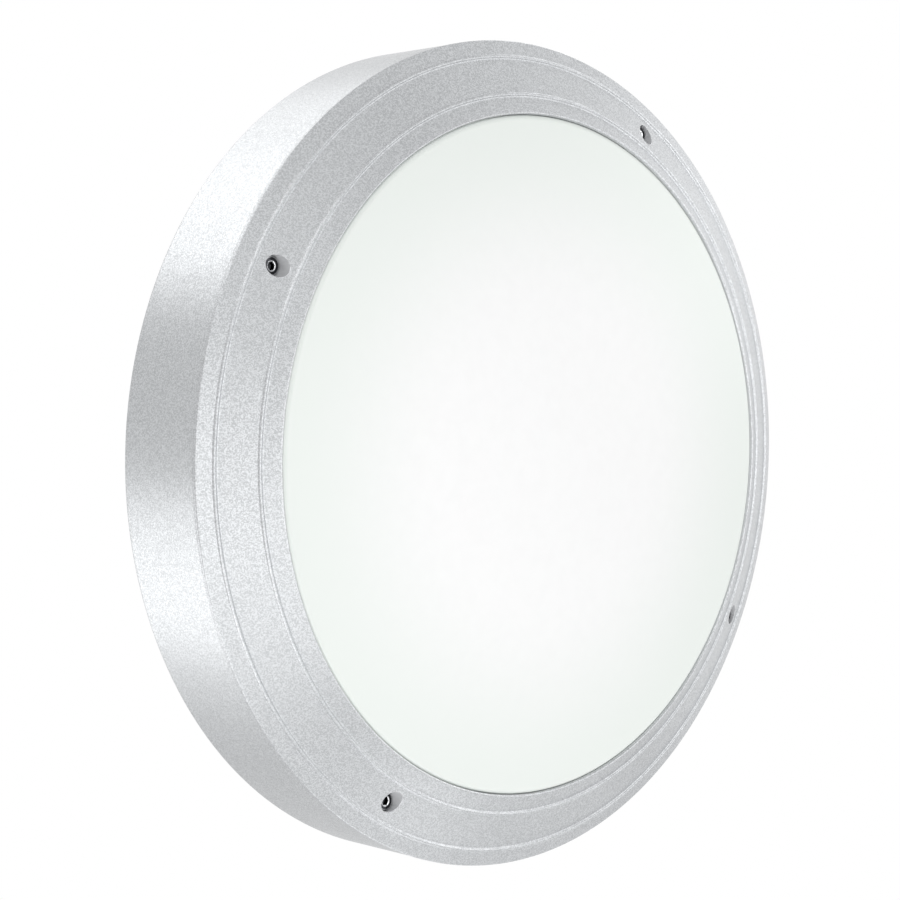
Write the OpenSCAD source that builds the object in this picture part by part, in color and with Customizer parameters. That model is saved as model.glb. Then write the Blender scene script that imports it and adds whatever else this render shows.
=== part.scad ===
// Round outdoor wall light: a shallow cast drum, a stepped cast front ring held by
// four sunk screws, a domed opal glass and the lamp gear behind it.
// Each module works in a local frame: z is the distance from the wall, y points up.

/* [Overall] */
// Outer diameter of the front ring
face_d = 320; // [300:1:360]
// Distance from the wall to the outer edge of the front ring
drum_depth = 42; // [40:1:60]

/* [Drum housing] */
// Width by which the drum's rim stands back from the ring's edge
rim_inset = 0.2; // [0:0.1:0.4]
// Width by which the drum tapers from its rim to the wall
drum_taper = 1.8; // [1:0.1:3]
// Thickness of the drum's side wall
drum_wall = 4.2; // [4:0.1:5]
// Rounding of the drum's edge at the wall
drum_edge_r = 1.5; // [0.5:0.1:2]
// Thickness of the back wall
back_wall = 3; // [2.5:0.5:5]
// Depth of the hollow behind the back wall
back_recess = 3.6; // [3:0.1:4]
// Width of the flat rim that lies on the wall
back_rim_w = 13; // [11:0.5:20]
// Height of the ribs in the hollow behind the back wall
back_rib_h = 2.4; // [1:0.1:2.8]
// Thickness of every cast rib
rib_t = 2.2; // [1.5:0.1:3]
// Number of radial ribs in the hollow behind the back wall
back_ribs = 12; // [6:1:18]

/* [Front ring] */
// Width of the ring from its outer edge to the glass
ring_w = 29; // [27:0.5:32]
// Height that the ring climbs from its outer edge to its lip
ring_rise = 14.5; // [13:0.5:16]
// Thickness of the ring's sloping wall
ring_skin = 3; // [2.5:0.1:3.2]
// Height of the ring's upright outer edge
edge_land = 1; // [0.8:0.1:1.5]
// Rounding of the ring's outer corner
edge_r = 0.5; // [0.2:0.1:0.7]
// Rounding of the ring's lip around the glass
lip_r = 1.1; // [0.6:0.1:1.4]
// Distance of the outer crest from the ring's outer edge
outer_crest_inset = 6.2; // [5.5:0.1:7]
// Distance of the inner crest from the ring's opening
inner_crest_inset = 8; // [7.4:0.1:8.6]
// Rounding of the top of a crest
crest_r = 0.8; // [0.6:0.1:1.2]
// Height of a crest over the slope outside it
crest_h = 0.35; // [0.2:0.05:0.45]
// Drop of the slope behind a crest
crest_drop = 0.55; // [0.3:0.05:0.6]
// Angle at which the flank behind a crest falls away from the slope
crest_flank = 35; // [30:1:50]
// Thickness of the ring's spigot, which fits in the drum
spigot_t = 2.2; // [1.8:0.1:2.4]
// Depth that the spigot reaches into the drum
spigot_h = 3; // [2:0.1:3.5]
// Gap between the spigot and the drum's side wall
spigot_clearance = 0.3; // [0.2:0.05:0.6]

/* [Ring screws] */
// Metal between a screw's recess and the seat of the glass
recess_wall = 2.15; // [1.8:0.05:2.6]
// Angle of the first ring screw from the right, counter-clockwise
screw_angle = 60.5; // [56:0.5:64]
// Thread diameter of a ring screw
screw_d = 4; // [3:0.5:4]
// Length of a ring screw under its head
screw_length = 22; // [14:1:24]
// Diameter of a ring screw's head
screw_head_d = 7; // [6.5:0.1:7.4]
// Height of a ring screw's head
screw_head_h = 4; // [3:0.1:4.4]
// Width across the flats of the head's socket
socket_w = 3; // [2:0.5:3.5]
// Depth of the head's socket
socket_h = 2.2; // [1:0.1:2.5]
// Diameter of the recess around a screw head
recess_d = 8; // [7.8:0.1:8.6]
// Depth of the recess floor under the ring's outer edge
recess_floor = 1.4; // [1:0.1:1.8]
// Diameter of the sealing washer under a screw head
seal_d = 6.8; // [6:0.1:7.4]
// Thickness of the sealing washer under a screw head
seal_t = 0.8; // [0.5:0.1:1]
// Diameter of the drum's bosses for the ring screws
screw_boss_d = 12; // [10:0.5:12]
// Diameter of the ring's bosses around its screws
ring_boss_d = 15; // [14:0.5:16]
// Depth of the joint between the two bosses under the ring's outer edge
boss_joint = 5; // [4.5:0.1:6]

/* [Rim gasket] */
// Gap between the ring and the drum's rim
rim_gap = 0.15; // [0.1:0.05:0.3]
// Width of the gasket's groove in the rim
rim_groove_w = 2; // [1.6:0.1:2.2]
// Depth of the gasket's groove in the rim
rim_groove_h = 2.4; // [1.5:0.1:3]

/* [Glass] */
// Gap between the glass and the ring's opening
glass_gap = 0.3; // [0.2:0.1:0.8]
// Thickness of the glass
glass_t = 4; // [3:0.5:4.5]
// Width of the glass flange under the ring
glass_flange_w = 6.8; // [6:0.1:7]
// Radius of the glass's shoulder
shoulder_r = 3.5; // [2.5:0.5:5]
// Radius of the glass's domed crown
crown_r = 1150; // [1000:50:1600]
// Height of the middle of the glass over the ring's lip
crown_h = 6.5; // [5.5:0.5:8]
// Depth of the glass seat under the ring's lip
seat_depth = 6.5; // [6:0.1:7]
// Thickness of the gasket around the glass flange
glass_gasket_t = 1.2; // [1:0.1:1.5]
// Width of the gasket's side wall
glass_gasket_side = 1.9; // [1.5:0.1:2]
// Thickness of the ring's wall around the gasket
seat_wall_t = 2.4; // [2:0.1:2.6]

/* [Glass clips] */
// Number of clips that hold the glass
clips = 6; // [3:1:6]
// Angle of the first clip from the right, counter-clockwise
clip_angle = 15; // [10:1:20]
// Thickness of a clip
clip_t = 1.5; // [1:0.1:2]
// Width of a clip
clip_w = 14; // [10:0.5:18]
// Length of a clip that grips the gasket
clip_grip = 4.5; // [3:0.5:5]
// Thread diameter of a clip screw
clip_screw_d = 3; // [2.5:0.5:3]
// Diameter of the bosses for the clip screws
clip_boss_d = 7.4; // [7:0.1:8]
// Distance from the seat wall to a clip boss's centre
clip_boss_offset = 3.3; // [3.1:0.1:3.5]

/* [Wall fixings] */
// Diameter of the circle that the wall screws stand on
fixing_circle_d = 200; // [190:1:206]
// Number of wall screws
fixings = 3; // [2:1:4]
// Diameter of a hole for a wall screw
fixing_hole_d = 6; // [4:0.5:7]
// Diameter of the pad around a hole for a wall screw
fixing_pad_d = 18; // [14:1:19]
// Height of the pad over the inside of the back wall
fixing_pad_h = 2; // [1:0.5:3]
// Thickness of the rubber washer on a pad
fixing_washer_t = 1.5; // [1:0.5:2]
// Width of the foam seal that lies on the wall
wall_seal_w = 5; // [4:0.5:6]
// Depth of the foam seal's groove
wall_seal_h = 2.4; // [1.5:0.1:3]
// Width by which the pad stands out past its rubber washer
washer_margin = 2; // [1:0.5:3]

/* [Cable entry] */
// Diameter of the hole for the cable grommet
entry_hole_d = 20; // [18:0.5:24]
// Diameter of the grommet's bore for the mains cable
entry_bore_d = 9; // [7:0.5:11]
// Diameter of the grommet's flanges
entry_flange_d = 26; // [25:0.5:30]
// Thickness of a grommet flange
entry_flange_t = 1.6; // [1:0.1:2]
// Length of the grommet's sleeve inside the drum
entry_sleeve = 6; // [3:0.5:8]
// Wall thickness of the sleeve where it meets its flange
entry_sleeve_t = 3; // [2:0.5:4]
// Chamfer round the edge of each grommet flange
entry_chamfer = 1; // [0.5:0.1:1.5]

/* [Gear tray] */
// Gap between the driver's lid and the gear tray
tray_clearance = 2.4; // [2:0.1:4]
// Thickness of the tray's sheet
tray_t = 1.2; // [0.8:0.1:1.5]
// Width by which the tray reaches behind the front ring
tray_lap = 3; // [1:0.5:4]
// Height of the tray's flared rim
tray_rim_h = 5; // [3:0.5:6]
// Width of the tray's flared rim
tray_rim_w = 6; // [3:0.5:8]
// Distance of the tray posts from the tray's edge
post_inset = 22; // [20:0.5:24]
// Angle of the first tray post from the right, counter-clockwise
post_angle = 15; // [10:1:20]
// Diameter of a tray post
post_d = 9; // [8:0.5:10]
// Thread diameter of the screws in the tray posts
tray_screw_d = 4; // [3:0.5:4]
// Diameter of the lead hole in the middle of the tray
tray_hole_d = 16; // [14:0.5:20]
// Wall thickness of the bush in the lead hole
bush_wall = 1.8; // [1.2:0.1:2.2]
// Thickness of a flange of the bush
bush_flange_t = 1.5; // [1:0.1:2]

/* [Lamp board] */
// Distance of the lamp board's edge from the tray posts
board_gap = 6; // [5:0.5:8]
// Width of the ring-shaped lamp board
board_w = 54; // [50:1:58]
// Thickness of the lamp board
board_t = 1.6; // [1:0.1:2]
// Distance of the inner circle of lamps from the board's inner edge
inner_lamps_inset = 15; // [14:0.5:18]
// Number of lamps in the inner circle
inner_lamps = 20; // [10:1:24]
// Distance of the outer circle of lamps from the board's outer edge
outer_lamps_inset = 11; // [8:0.5:14]
// Number of lamps in the outer circle
outer_lamps = 28; // [14:1:36]
// Length of a lamp package
lamp_l = 3.5; // [2.8:0.1:5]
// Width of a lamp package
lamp_w = 2.8; // [2:0.1:3.5]
// Height of a lamp package
lamp_h = 0.8; // [0.6:0.1:1]
// Distance of the board screws from the board's outer edge
board_screw_inset = 25; // [22:0.5:28]
// Number of board screws
board_screws = 6; // [3:1:6]
// Thread diameter of a board screw
board_screw_d = 3; // [2:0.5:3]
// Angle of the first board screw from the right, counter-clockwise
board_screw_angle = 30; // [24:1:36]
// Length of the lead connector on the board
connector_l = 9; // [8:0.5:10]
// Width of the lead connector
connector_w = 8; // [7:0.5:9]
// Height of the lead connector
connector_h = 4; // [3.5:0.5:5]
// Distance between the two lead holes of the connector
connector_pitch = 3.6; // [3:0.1:4]

/* [Driver] */
// Length of the driver's case
driver_l = 118; // [110:1:120]
// Width of the driver's case
driver_w = 40; // [36:1:42]
// Height of the driver's case with its lid
driver_h = 19; // [17:0.5:20]
// Distance of the driver's middle below the centre
driver_y = 58; // [56:0.5:60]
// Wall thickness of the driver's case and lid
driver_shell = 1.6; // [1.2:0.1:2]
// Height of the driver's lid
driver_lid_h = 6; // [5:0.5:7]
// Length of a screw ear on the driver
driver_ear = 7; // [6:0.5:8]
// Thickness of a screw ear on the driver
driver_ear_t = 2.5; // [2:0.5:3]
// Depth that the lid's edge reaches into the case
driver_lid_lap = 1.5; // [1:0.1:2]
// Height of the cast pads under the driver and the terminal block
gear_pad_h = 2; // [1:0.5:3]

/* [Terminal block] */
// Distance between neighbouring terminals
pole_pitch = 11; // [9:0.5:12]
// Depth of the terminal block
terminal_w = 20; // [18:0.5:22]
// Height of the terminal block
terminal_h = 15; // [13:0.5:17]
// Height of a terminal's body under its screw towers
pole_body_h = 9.9; // [9:0.1:11]
// Width of a terminal's body
pole_body_w = 9.2; // [8:0.1:10]
// Diameter of the tower round a clamping screw
tower_d = 7.7; // [7:0.1:8.5]
// Distance of the clamping screws from the middle of their terminal
clamp_screw_y = 5.4; // [5:0.1:6]
// Thickness of the terminal block's base
terminal_base_t = 3; // [2:0.5:4]
// Distance of the terminal block's middle above the centre
terminal_y = 66; // [64:0.5:68]
// Diameter of a terminal tube
tube_d = 5.6; // [5:0.1:6]
// Diameter of a terminal tube's bore
tube_bore_d = 3.6; // [3:0.1:4]

/* [Cord clamp and earth point] */
// Distance of the cord clamp above the centre
clamp_y = 33; // [32:0.5:36]
// Distance between the cord clamp's screws
clamp_span = 26; // [24:0.5:28]
// Height of the posts under the cord clamp
clamp_post_h = 5; // [4:0.5:6]
// Thickness of the cord clamp
clamp_t = 3; // [2:0.5:4]
// Width of the cord clamp
clamp_w = 8; // [7:0.5:10]
// Radius of the arch that grips the cord
clamp_arch_r = 5; // [4:0.1:5.5]
// Distance of the earth screw to the right of the centre
earth_x = 44; // [42:0.5:46]
// Distance of the earth screw above the centre
earth_y = 30; // [28:0.5:32]
// Diameter of the earth screw's boss
earth_boss_d = 10; // [9:0.5:12]
// Height of the earth screw's boss
earth_boss_h = 6; // [4:0.5:7]
// Thickness of the earth tag
earth_tag_t = 0.8; // [0.6:0.1:1]
// Diameter of the earth screw's washer
earth_washer_d = 9; // [8.5:0.1:10]
// Thickness of the earth screw's washer
earth_washer_t = 0.8; // [0.5:0.1:1]

/* [Leads] */
// Diameter of an insulated mains lead
mains_lead_d = 2.6; // [2:0.1:2.8]
// Diameter of an insulated lamp lead
lamp_lead_d = 2; // [1.6:0.1:2.2]

/* [Hidden] */

// Roundness of large turned shapes, of small ones and of an arc in a profile
$fn = 48;
large_fn = 180;
arc_steps = 6;
// Small amount by which a cut runs past the face that it opens
past = 0.5;
// Gap all round between a screw and its bore
thread_clearance = 0.05;
// Gap all round between a piece and the hole or groove that it fits in
fit_clearance = 0.05;
// Gap all round between a screw and a hole that it only passes through
pass_clearance = 0.25;
// Metal left under a blind hole in the back wall
blind_skin = 1;

// Drum
face_r = face_d / 2;
rim_z = drum_depth - edge_land - rim_gap;
rim_r = face_r - rim_inset;
drum_back_r = rim_r - drum_taper;
draft = drum_taper / rim_z;
floor_z = back_recess + back_wall;
function drum_r(z) = drum_back_r + draft * z;
function drum_inner_r(z) = drum_r(z) - drum_wall;
rim_groove_r = rim_r - drum_wall / 2;

// Slope of the front ring, and its height at any radius
opening_r = face_r - ring_w;
outer_crest_r = face_r - outer_crest_inset;
inner_crest_r = opening_r + inner_crest_inset;
lip_z = drum_depth + ring_rise;
slope = atan(ring_rise / ring_w);
function slope_z(r) = drum_depth + (face_r - r) * tan(slope);
land_z = drum_depth - edge_land;
spigot_r = drum_inner_r(land_z - spigot_h) - spigot_clearance;

// Glass and its seat, from the lip back to the clips
seat_z = lip_z - seat_depth;
flange_z = seat_z - glass_gasket_t - glass_t;
gasket_z = flange_z - glass_gasket_t;
glass_r = opening_r - glass_gap;
flange_r = glass_r + glass_flange_w;
seat_r = flange_r + glass_gasket_side + fit_clearance;
seat_wall_z = flange_z + fit_clearance;
gasket_setback = 1.8;
glass_top = lip_z + crown_h;
crown_z = glass_top - crown_r;
shoulder_z = crown_z + sqrt(pow(crown_r - shoulder_r, 2) - pow(glass_r - shoulder_r, 2));

// Pan head, with its width and its cross slot as multiples of the thread diameter
pan_head_h = 1.6;
pan_head_ratio = 1.9;
pan_slot_l = 1.4;
pan_slot_w = 0.24;

// Ring screws
screw_circle_r = seat_r + recess_wall + recess_d / 2;
recess_z = drum_depth - recess_floor;
head_z = recess_z + seal_t;
joint_z = drum_depth - boss_joint;
screw_tip_z = head_z - screw_length;
screw_hole_extra = 2;
screw_chamfer = 0.4;
screws = 4;

// Glass clips
clip_boss_r = seat_r + seat_wall_t + clip_boss_offset;
clip_inner_r = flange_r - clip_grip + glass_gasket_side;
clip_screw_reach = 2.4;
clip_hole_extra = 0.4;
clip_screw_head_h = 1.8;

// Gear tray and lamp board
gear_z = floor_z + gear_pad_h;
tray_z = gear_z + driver_h + tray_clearance;
board_z = tray_z + tray_t;
tray_r = opening_r + tray_lap;
post_circle_r = tray_r - post_inset;
board_r = post_circle_r - board_gap;
board_hole_r = board_r - board_w;
board_screw_circle_r = board_r - board_screw_inset;
post_screw_reach = 8;
tray_screws_n = 4;
board_screw_reach = 0.8;

// Connector beside the inner edge of the lamp board
connector_hole_h = 4;
connector_inset = 1.5;
connector_x = board_hole_r + connector_inset;

// Driver
driver_lead_z = gear_z + 8;
driver_lead_pitch = 6;
gear_screw_d = 3;
gear_screw_reach = 3;
gear_foot_d = 8;

// Terminal block
poles = [-1, 0, 1];
terminal_l = len(poles) * pole_pitch + 2;
terminal_tube_z = gear_z + 6;
terminal_bridge_w = 6;
terminal_fixing_x = terminal_l / 2 + 1.5;
tube_inset = 1;
clamp_screw_d = 3;
clamp_head_d = 3.8;
clamp_head_h = 2;
clamp_head_sink = 1.5;
clamp_slot_w = 0.6;
clamp_slot_h = 1;
tower_bore_d = 4.2;

// Earth point
earth_seat_z = floor_z + earth_boss_h;
earth_screw_reach = 4;
tag_ring_d = 8.4;
tag_neck_w = 3.2;
tag_barrel_x = 7.5;
tag_barrel_l = 6;
tag_barrel_wall = 0.8;
tag_barrel_z = earth_seat_z + earth_tag_t / 2 + mains_lead_d / 2;

// Colours
cast_silver = "#c9cacd";
rubber_black = "#2b2b2b";
silicone_grey = "#d9d9d6";
opal_white = "#f1f5f2";

// Points of an arc round (cx, cy), from angle a to angle b
function arc(cx, cy, r, a, b, steps = arc_steps) =
    [for (i = [0:steps]) let (t = a + (b - a) * i / steps) [cx + r * cos(t), cy + r * sin(t)]];

// A point on the face of the ring: s along the slope inwards from radius r, h over the slope
function on_slope(r, s, h) =
    [r - s * cos(slope) + h * sin(slope), slope_z(r) + s * sin(slope) + h * cos(slope)];

// A crest: a round bead that stands on the slope, and behind it a flank that falls below the slope
bead_angle = acos((crest_r - crest_h) / crest_r);
bead_steps = 2 * arc_steps;
flank_top = crest_h - crest_r * (1 - cos(crest_flank));
flank_l = (flank_top + crest_drop) / tan(crest_flank);
function crest(r) = [
    for (i = [0:bead_steps]) let (t = (bead_angle + crest_flank) * i / bead_steps - bead_angle)
        on_slope(r, crest_r * sin(t), crest_h - crest_r * (1 - cos(t))),
    on_slope(r, crest_r * sin(crest_flank) + flank_l, -crest_drop)
];

// Outer face of the front ring, from its outer edge to its opening
function ring_face() = concat(
    [[face_r, land_z]],
    arc(face_r - edge_r, slope_z(face_r - edge_r) - edge_r / cos(slope), edge_r, 0, 90 - slope),
    crest(outer_crest_r),
    crest(inner_crest_r),
    arc(opening_r + lip_r, slope_z(opening_r + lip_r) - lip_r / cos(slope), lip_r, 90 - slope, 180));

// Inner face of the ring's sloping wall
function under_z(r) = slope_z(r) - ring_skin / cos(slope);

module turned() {
    rotate_extrude($fn = large_fn) children();
}

// Copies the children round the axis, the first at angle a and distance r
module around(n, r, a = 0) {
    for (i = [0:n - 1]) rotate(a + i * 360 / n) translate([r, 0, 0]) children();
}

// Upright cylinder from z = low to z = high
module upright(d, low, high) {
    translate([0, 0, low]) cylinder(d = d, h = high - low);
}

// Screw with its tip towards the wall: the head's underside is at z = seat
module pan_screw(d, seat, reach) {
    upright(d, seat - reach, seat + pan_head_h / 2);
    difference() {
        upright(d * pan_head_ratio, seat, seat + pan_head_h);
        translate([0, 0, seat + pan_head_h / 2]) {
            translate(d / 2 * [-pan_slot_l, -pan_slot_w, 0])
                cube([d * pan_slot_l, d * pan_slot_w, pan_head_h]);
            translate(d / 2 * [-pan_slot_w, -pan_slot_l, 0])
                cube([d * pan_slot_w, d * pan_slot_l, pan_head_h]);
        }
    }
}

// Smooth curve through chosen points, as many steps as given in each span
function spline_point(a, b, c, d, t) =
    0.5 * (2 * b + (c - a) * t + (2 * a - 5 * b + 4 * c - d) * t * t
        + (3 * b - a - 3 * c + d) * t * t * t);
function spline(p, steps) = [
    for (i = [0:len(p) - 2]) for (k = [0:steps - (i < len(p) - 2 ? 1 : 0)])
        spline_point(p[max(i - 1, 0)], p[i], p[i + 1], p[min(i + 2, len(p) - 1)], k / steps)
];
function unit(v) = v / norm(v);
function tangents(p) = [
    for (i = [0:len(p) - 1]) unit(p[min(i + 1, len(p) - 1)] - p[max(i - 1, 0)])
];
function turned_side(side, tangent) = unit(side - (side * tangent) * tangent);
function side_vectors(t) = [
    for (i = 0, s = turned_side([0.2, 0.3, 1], t[0]); i < len(t);
        i = i + 1, s = turned_side(s, t[min(i, len(t) - 1)])) s
];

// Insulated lead swept along a route
module lead(route, d, steps = 4, sides = 8) {
    path = spline(route, steps);
    along = tangents(path);
    side = side_vectors(along);
    rings = len(path);
    ring_points = [
        for (i = [0:rings - 1]) for (k = [0:sides - 1])
            let (a = 360 * k / sides)
                path[i] + d / 2 * (cos(a) * side[i] + sin(a) * cross(along[i], side[i]))
    ];
    walls = [
        for (i = [0:rings - 2]) for (k = [0:sides - 1])
            let (m = (k + 1) % sides)
                [i * sides + k, (i + 1) * sides + k, (i + 1) * sides + m, i * sides + m]
    ];
    first_cap = [[for (k = [0:sides - 1]) k]];
    last_cap = [[for (k = [sides - 1:-1:0]) (rings - 1) * sides + k]];
    polyhedron(points = ring_points, faces = concat(walls, first_cap, last_cap), convexity = 6);
}

// Shell of the drum with its back wall and its gasket groove
module drum_shell() {
    turned() difference() {
        polygon(concat(
            [[0, back_recess], [drum_back_r - back_rim_w, back_recess], [drum_back_r - back_rim_w, 0]],
            arc(drum_r(drum_edge_r) - drum_edge_r, drum_edge_r, drum_edge_r, -90, 0),
            [[rim_r, rim_z], [rim_r - drum_wall, rim_z], [drum_inner_r(floor_z), floor_z], [0, floor_z]]
        ));
        translate([rim_groove_r - rim_groove_w / 2, rim_z - rim_groove_h])
            square([rim_groove_w, rim_groove_h + past]);
        translate([drum_back_r - back_rim_w / 2 - wall_seal_w / 2, -past])
            square([wall_seal_w, wall_seal_h + past]);
    }
}

// Radial ribs and a ring rib in the hollow behind the back wall
module back_ribs() {
    rib_from = entry_flange_d / 2 + 2;
    rib_to = drum_back_r - back_rim_w + past;
    translate([0, 0, back_recess - back_rib_h]) {
        around(back_ribs, rib_from) translate([0, -rib_t / 2, 0])
            cube([rib_to - rib_from, rib_t, back_rib_h + past]);
        linear_extrude(back_rib_h + past) difference() {
            circle(d = fixing_circle_d + rib_t, $fn = large_fn);
            circle(d = fixing_circle_d - rib_t, $fn = large_fn);
        }
    }
}

// Bosses, posts and pads that stand on the inside of the back wall
module cast_bosses() {
    base_z = floor_z - past;
    around(screws, screw_circle_r, screw_angle) {
        upright(screw_boss_d, base_z, joint_z);
        translate([0, -rib_t / 2, base_z])
            cube([drum_inner_r(joint_z) - screw_circle_r + past, rib_t, joint_z - boss_joint - base_z]);
    }
    around(tray_screws_n, post_circle_r, post_angle) upright(post_d, base_z, tray_z);
    around(fixings, fixing_circle_d / 2, 90) upright(fixing_pad_d, 0, floor_z + fixing_pad_h);
    for (x = [-1, 1]) {
        translate([x * (driver_l + driver_ear) / 2, -driver_y, 0]) upright(driver_ear, base_z, gear_z);
        translate([x * terminal_fixing_x, terminal_y, 0]) upright(gear_foot_d, base_z, gear_z);
        translate([x * clamp_span / 2, clamp_y, 0]) upright(clamp_w, base_z, floor_z + clamp_post_h);
    }
    translate([earth_x, earth_y, 0]) upright(earth_boss_d, base_z, earth_seat_z);
}

// Every hole in the drum
module housing_holes() {
    bore = 2 * thread_clearance;
    around(screws, screw_circle_r, screw_angle)
        upright(screw_d + bore, screw_tip_z - screw_hole_extra, joint_z + past);
    around(tray_screws_n, post_circle_r, post_angle)
        upright(tray_screw_d + bore, tray_z - post_screw_reach - screw_hole_extra, tray_z + past);
    around(fixings, fixing_circle_d / 2, 90)
        upright(fixing_hole_d, -past, floor_z + fixing_pad_h + past);
    for (x = [-1, 1]) {
        translate([x * (driver_l + driver_ear) / 2, -driver_y, 0])
            upright(gear_screw_d + bore, back_recess + blind_skin, gear_z + past);
        translate([x * terminal_fixing_x, terminal_y, 0])
            upright(gear_screw_d + bore, back_recess + blind_skin, gear_z + past);
        translate([x * clamp_span / 2, clamp_y, 0])
            upright(gear_screw_d + bore, back_recess + blind_skin, floor_z + clamp_post_h + past);
    }
    translate([earth_x, earth_y, 0])
        upright(tray_screw_d + bore, floor_z, earth_seat_z + past);
    upright(entry_hole_d, -past, floor_z + past);
}

module housing() {
    color(cast_silver) difference() {
        union() {
            drum_shell();
            back_ribs();
            cast_bosses();
        }
        housing_holes();
    }
}

// Foam ring in the groove of the rim that lies on the wall
module wall_seal() {
    color(rubber_black) turned()
        translate([drum_back_r - back_rim_w / 2 - wall_seal_w / 2 + fit_clearance, fit_clearance])
            square([wall_seal_w - 2 * fit_clearance, wall_seal_h - fit_clearance]);
}

// Rubber grommet that closes the cable hole in the back wall
module cable_grommet() {
    bore_r = entry_bore_d / 2;
    neck_r = entry_hole_d / 2 - fit_clearance;
    flange_r = entry_flange_d / 2;
    inner_flange_r = flange_r - entry_chamfer;
    color(rubber_black) turned() polygon([
        [bore_r, back_recess - entry_flange_t],
        [flange_r - entry_chamfer, back_recess - entry_flange_t],
        [flange_r, back_recess],
        [neck_r, back_recess],
        [neck_r, floor_z],
        [inner_flange_r, floor_z],
        [inner_flange_r - entry_chamfer, floor_z + entry_flange_t],
        [bore_r + entry_sleeve_t, floor_z + entry_flange_t],
        [bore_r + entry_sleeve_t / 2, floor_z + entry_sleeve],
        [bore_r, floor_z + entry_sleeve]
    ]);
}

// Rubber washers that lie on the pads under the heads of the wall screws
module fixing_washers() {
    pad_z = floor_z + fixing_pad_h;
    color(rubber_black) around(fixings, fixing_circle_d / 2, 90) difference() {
        upright(fixing_pad_d - 2 * washer_margin, pad_z, pad_z + fixing_washer_t);
        upright(fixing_hole_d + 2 * pass_clearance, floor_z, pad_z + fixing_washer_t + past);
    }
}

// Seal in the drum's rim, pressed by the front ring
module rim_gasket() {
    color(silicone_grey) turned()
        translate([rim_groove_r - rim_groove_w / 2 + fit_clearance, rim_z - rim_groove_h])
            square([rim_groove_w - 2 * fit_clearance, rim_groove_h + rim_gap]);
}

// Section of the front ring: stepped face, glass seat, seat wall and spigot
module ring_section() {
    seat_out = seat_r + seat_wall_t;
    spigot_in = spigot_r - spigot_t;
    polygon(concat(
        ring_face(),
        [
            [opening_r, seat_z],
            [seat_r, seat_z],
            [seat_r, seat_wall_z],
            [seat_out, seat_wall_z],
            [seat_out, under_z(seat_out)],
            [spigot_in, under_z(spigot_in)],
            [spigot_in, land_z - spigot_h],
            [spigot_r, land_z - spigot_h],
            [spigot_r, land_z]
        ]));
}

// Everything that lies under the middle of the ring's sloping wall
module under_slope(low) {
    turned() polygon([
        [seat_r, low],
        [spigot_r, low],
        [spigot_r, slope_z(spigot_r) - ring_skin / 2],
        [seat_r, slope_z(seat_r) - ring_skin / 2]
    ]);
}

module front_ring() {
    color(cast_silver) difference() {
        union() {
            turned() ring_section();
            intersection() {
                around(screws, screw_circle_r, screw_angle) upright(ring_boss_d, joint_z, lip_z);
                under_slope(joint_z);
            }
            intersection() {
                around(clips, clip_boss_r, clip_angle) upright(clip_boss_d, gasket_z, lip_z);
                under_slope(gasket_z);
            }
        }
        around(screws, screw_circle_r, screw_angle) {
            upright(recess_d, recess_z, lip_z + past);
            upright(screw_d + 2 * pass_clearance, joint_z - past, recess_z + past);
        }
        around(clips, clip_boss_r, clip_angle)
            upright(clip_screw_d + 2 * thread_clearance, gasket_z - past,
                gasket_z + clip_screw_reach + clip_hole_extra);
        // Flats that clear the ends of the clips, where the slope comes down to them
        around(clips, clip_boss_r, clip_angle)
            upright(clip_w + 2 * pass_clearance, gasket_z - clip_t - clip_screw_head_h, gasket_z);
    }
}

// Socket-head screws that hold the front ring on the drum
module ring_screws() {
    top_z = head_z + screw_head_h;
    color("silver") around(screws, screw_circle_r, screw_angle) difference() {
        union() {
            upright(screw_d, screw_tip_z, head_z + past);
            upright(screw_head_d, head_z, top_z - screw_chamfer);
            translate([0, 0, top_z - screw_chamfer])
                cylinder(d1 = screw_head_d, d2 = screw_head_d - 2 * screw_chamfer, h = screw_chamfer);
        }
        translate([0, 0, top_z - socket_h])
            cylinder(d = socket_w / cos(30), h = socket_h + past, $fn = 6);
    }
}

// Sealing washers under the heads of the ring screws
module screw_seals() {
    color(rubber_black) around(screws, screw_circle_r, screw_angle) difference() {
        upright(seal_d, recess_z, head_z);
        upright(screw_d + 2 * fit_clearance, recess_z - past, head_z + past);
    }
}

// Domed opal glass: flange, upright side, round shoulder and shallow crown
module glass() {
    shoulder_x = glass_r - shoulder_r;
    // Angle at which the shoulder runs into the crown
    meet = atan2(shoulder_z - crown_z, shoulder_x);
    crown_steps = 24;
    inner_crown_r = crown_r - glass_t;
    inner_shoulder_r = shoulder_r - glass_t / 2;
    inner_x = glass_r - glass_t - inner_shoulder_r;
    inner_shoulder_z = crown_z + sqrt(pow(inner_crown_r - inner_shoulder_r, 2) - pow(inner_x, 2));
    inner_meet = atan2(inner_shoulder_z - crown_z, inner_x);
    color(opal_white) turned() polygon(concat(
        [[flange_r, flange_z], [flange_r, flange_z + glass_t], [glass_r, flange_z + glass_t]],
        arc(shoulder_x, shoulder_z, shoulder_r, 0, meet, 2 * arc_steps),
        arc(0, crown_z, crown_r, meet, 90, crown_steps),
        arc(0, crown_z, inner_crown_r, 90, inner_meet, crown_steps),
        arc(inner_x, inner_shoulder_z, inner_shoulder_r, inner_meet, 0),
        [[glass_r - glass_t, flange_z]]
    ));
}

// U-shaped gasket that wraps the flange of the glass, its lips set back from the glass's side
module glass_gasket() {
    outer_r = flange_r + glass_gasket_side;
    inner_r = glass_r + gasket_setback;
    color(silicone_grey) turned() polygon([
        [inner_r, gasket_z],
        [outer_r, gasket_z],
        [outer_r, seat_z],
        [inner_r, seat_z],
        [inner_r, flange_z + glass_t],
        [flange_r, flange_z + glass_t],
        [flange_r, flange_z],
        [inner_r, flange_z]
    ]);
}

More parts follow.
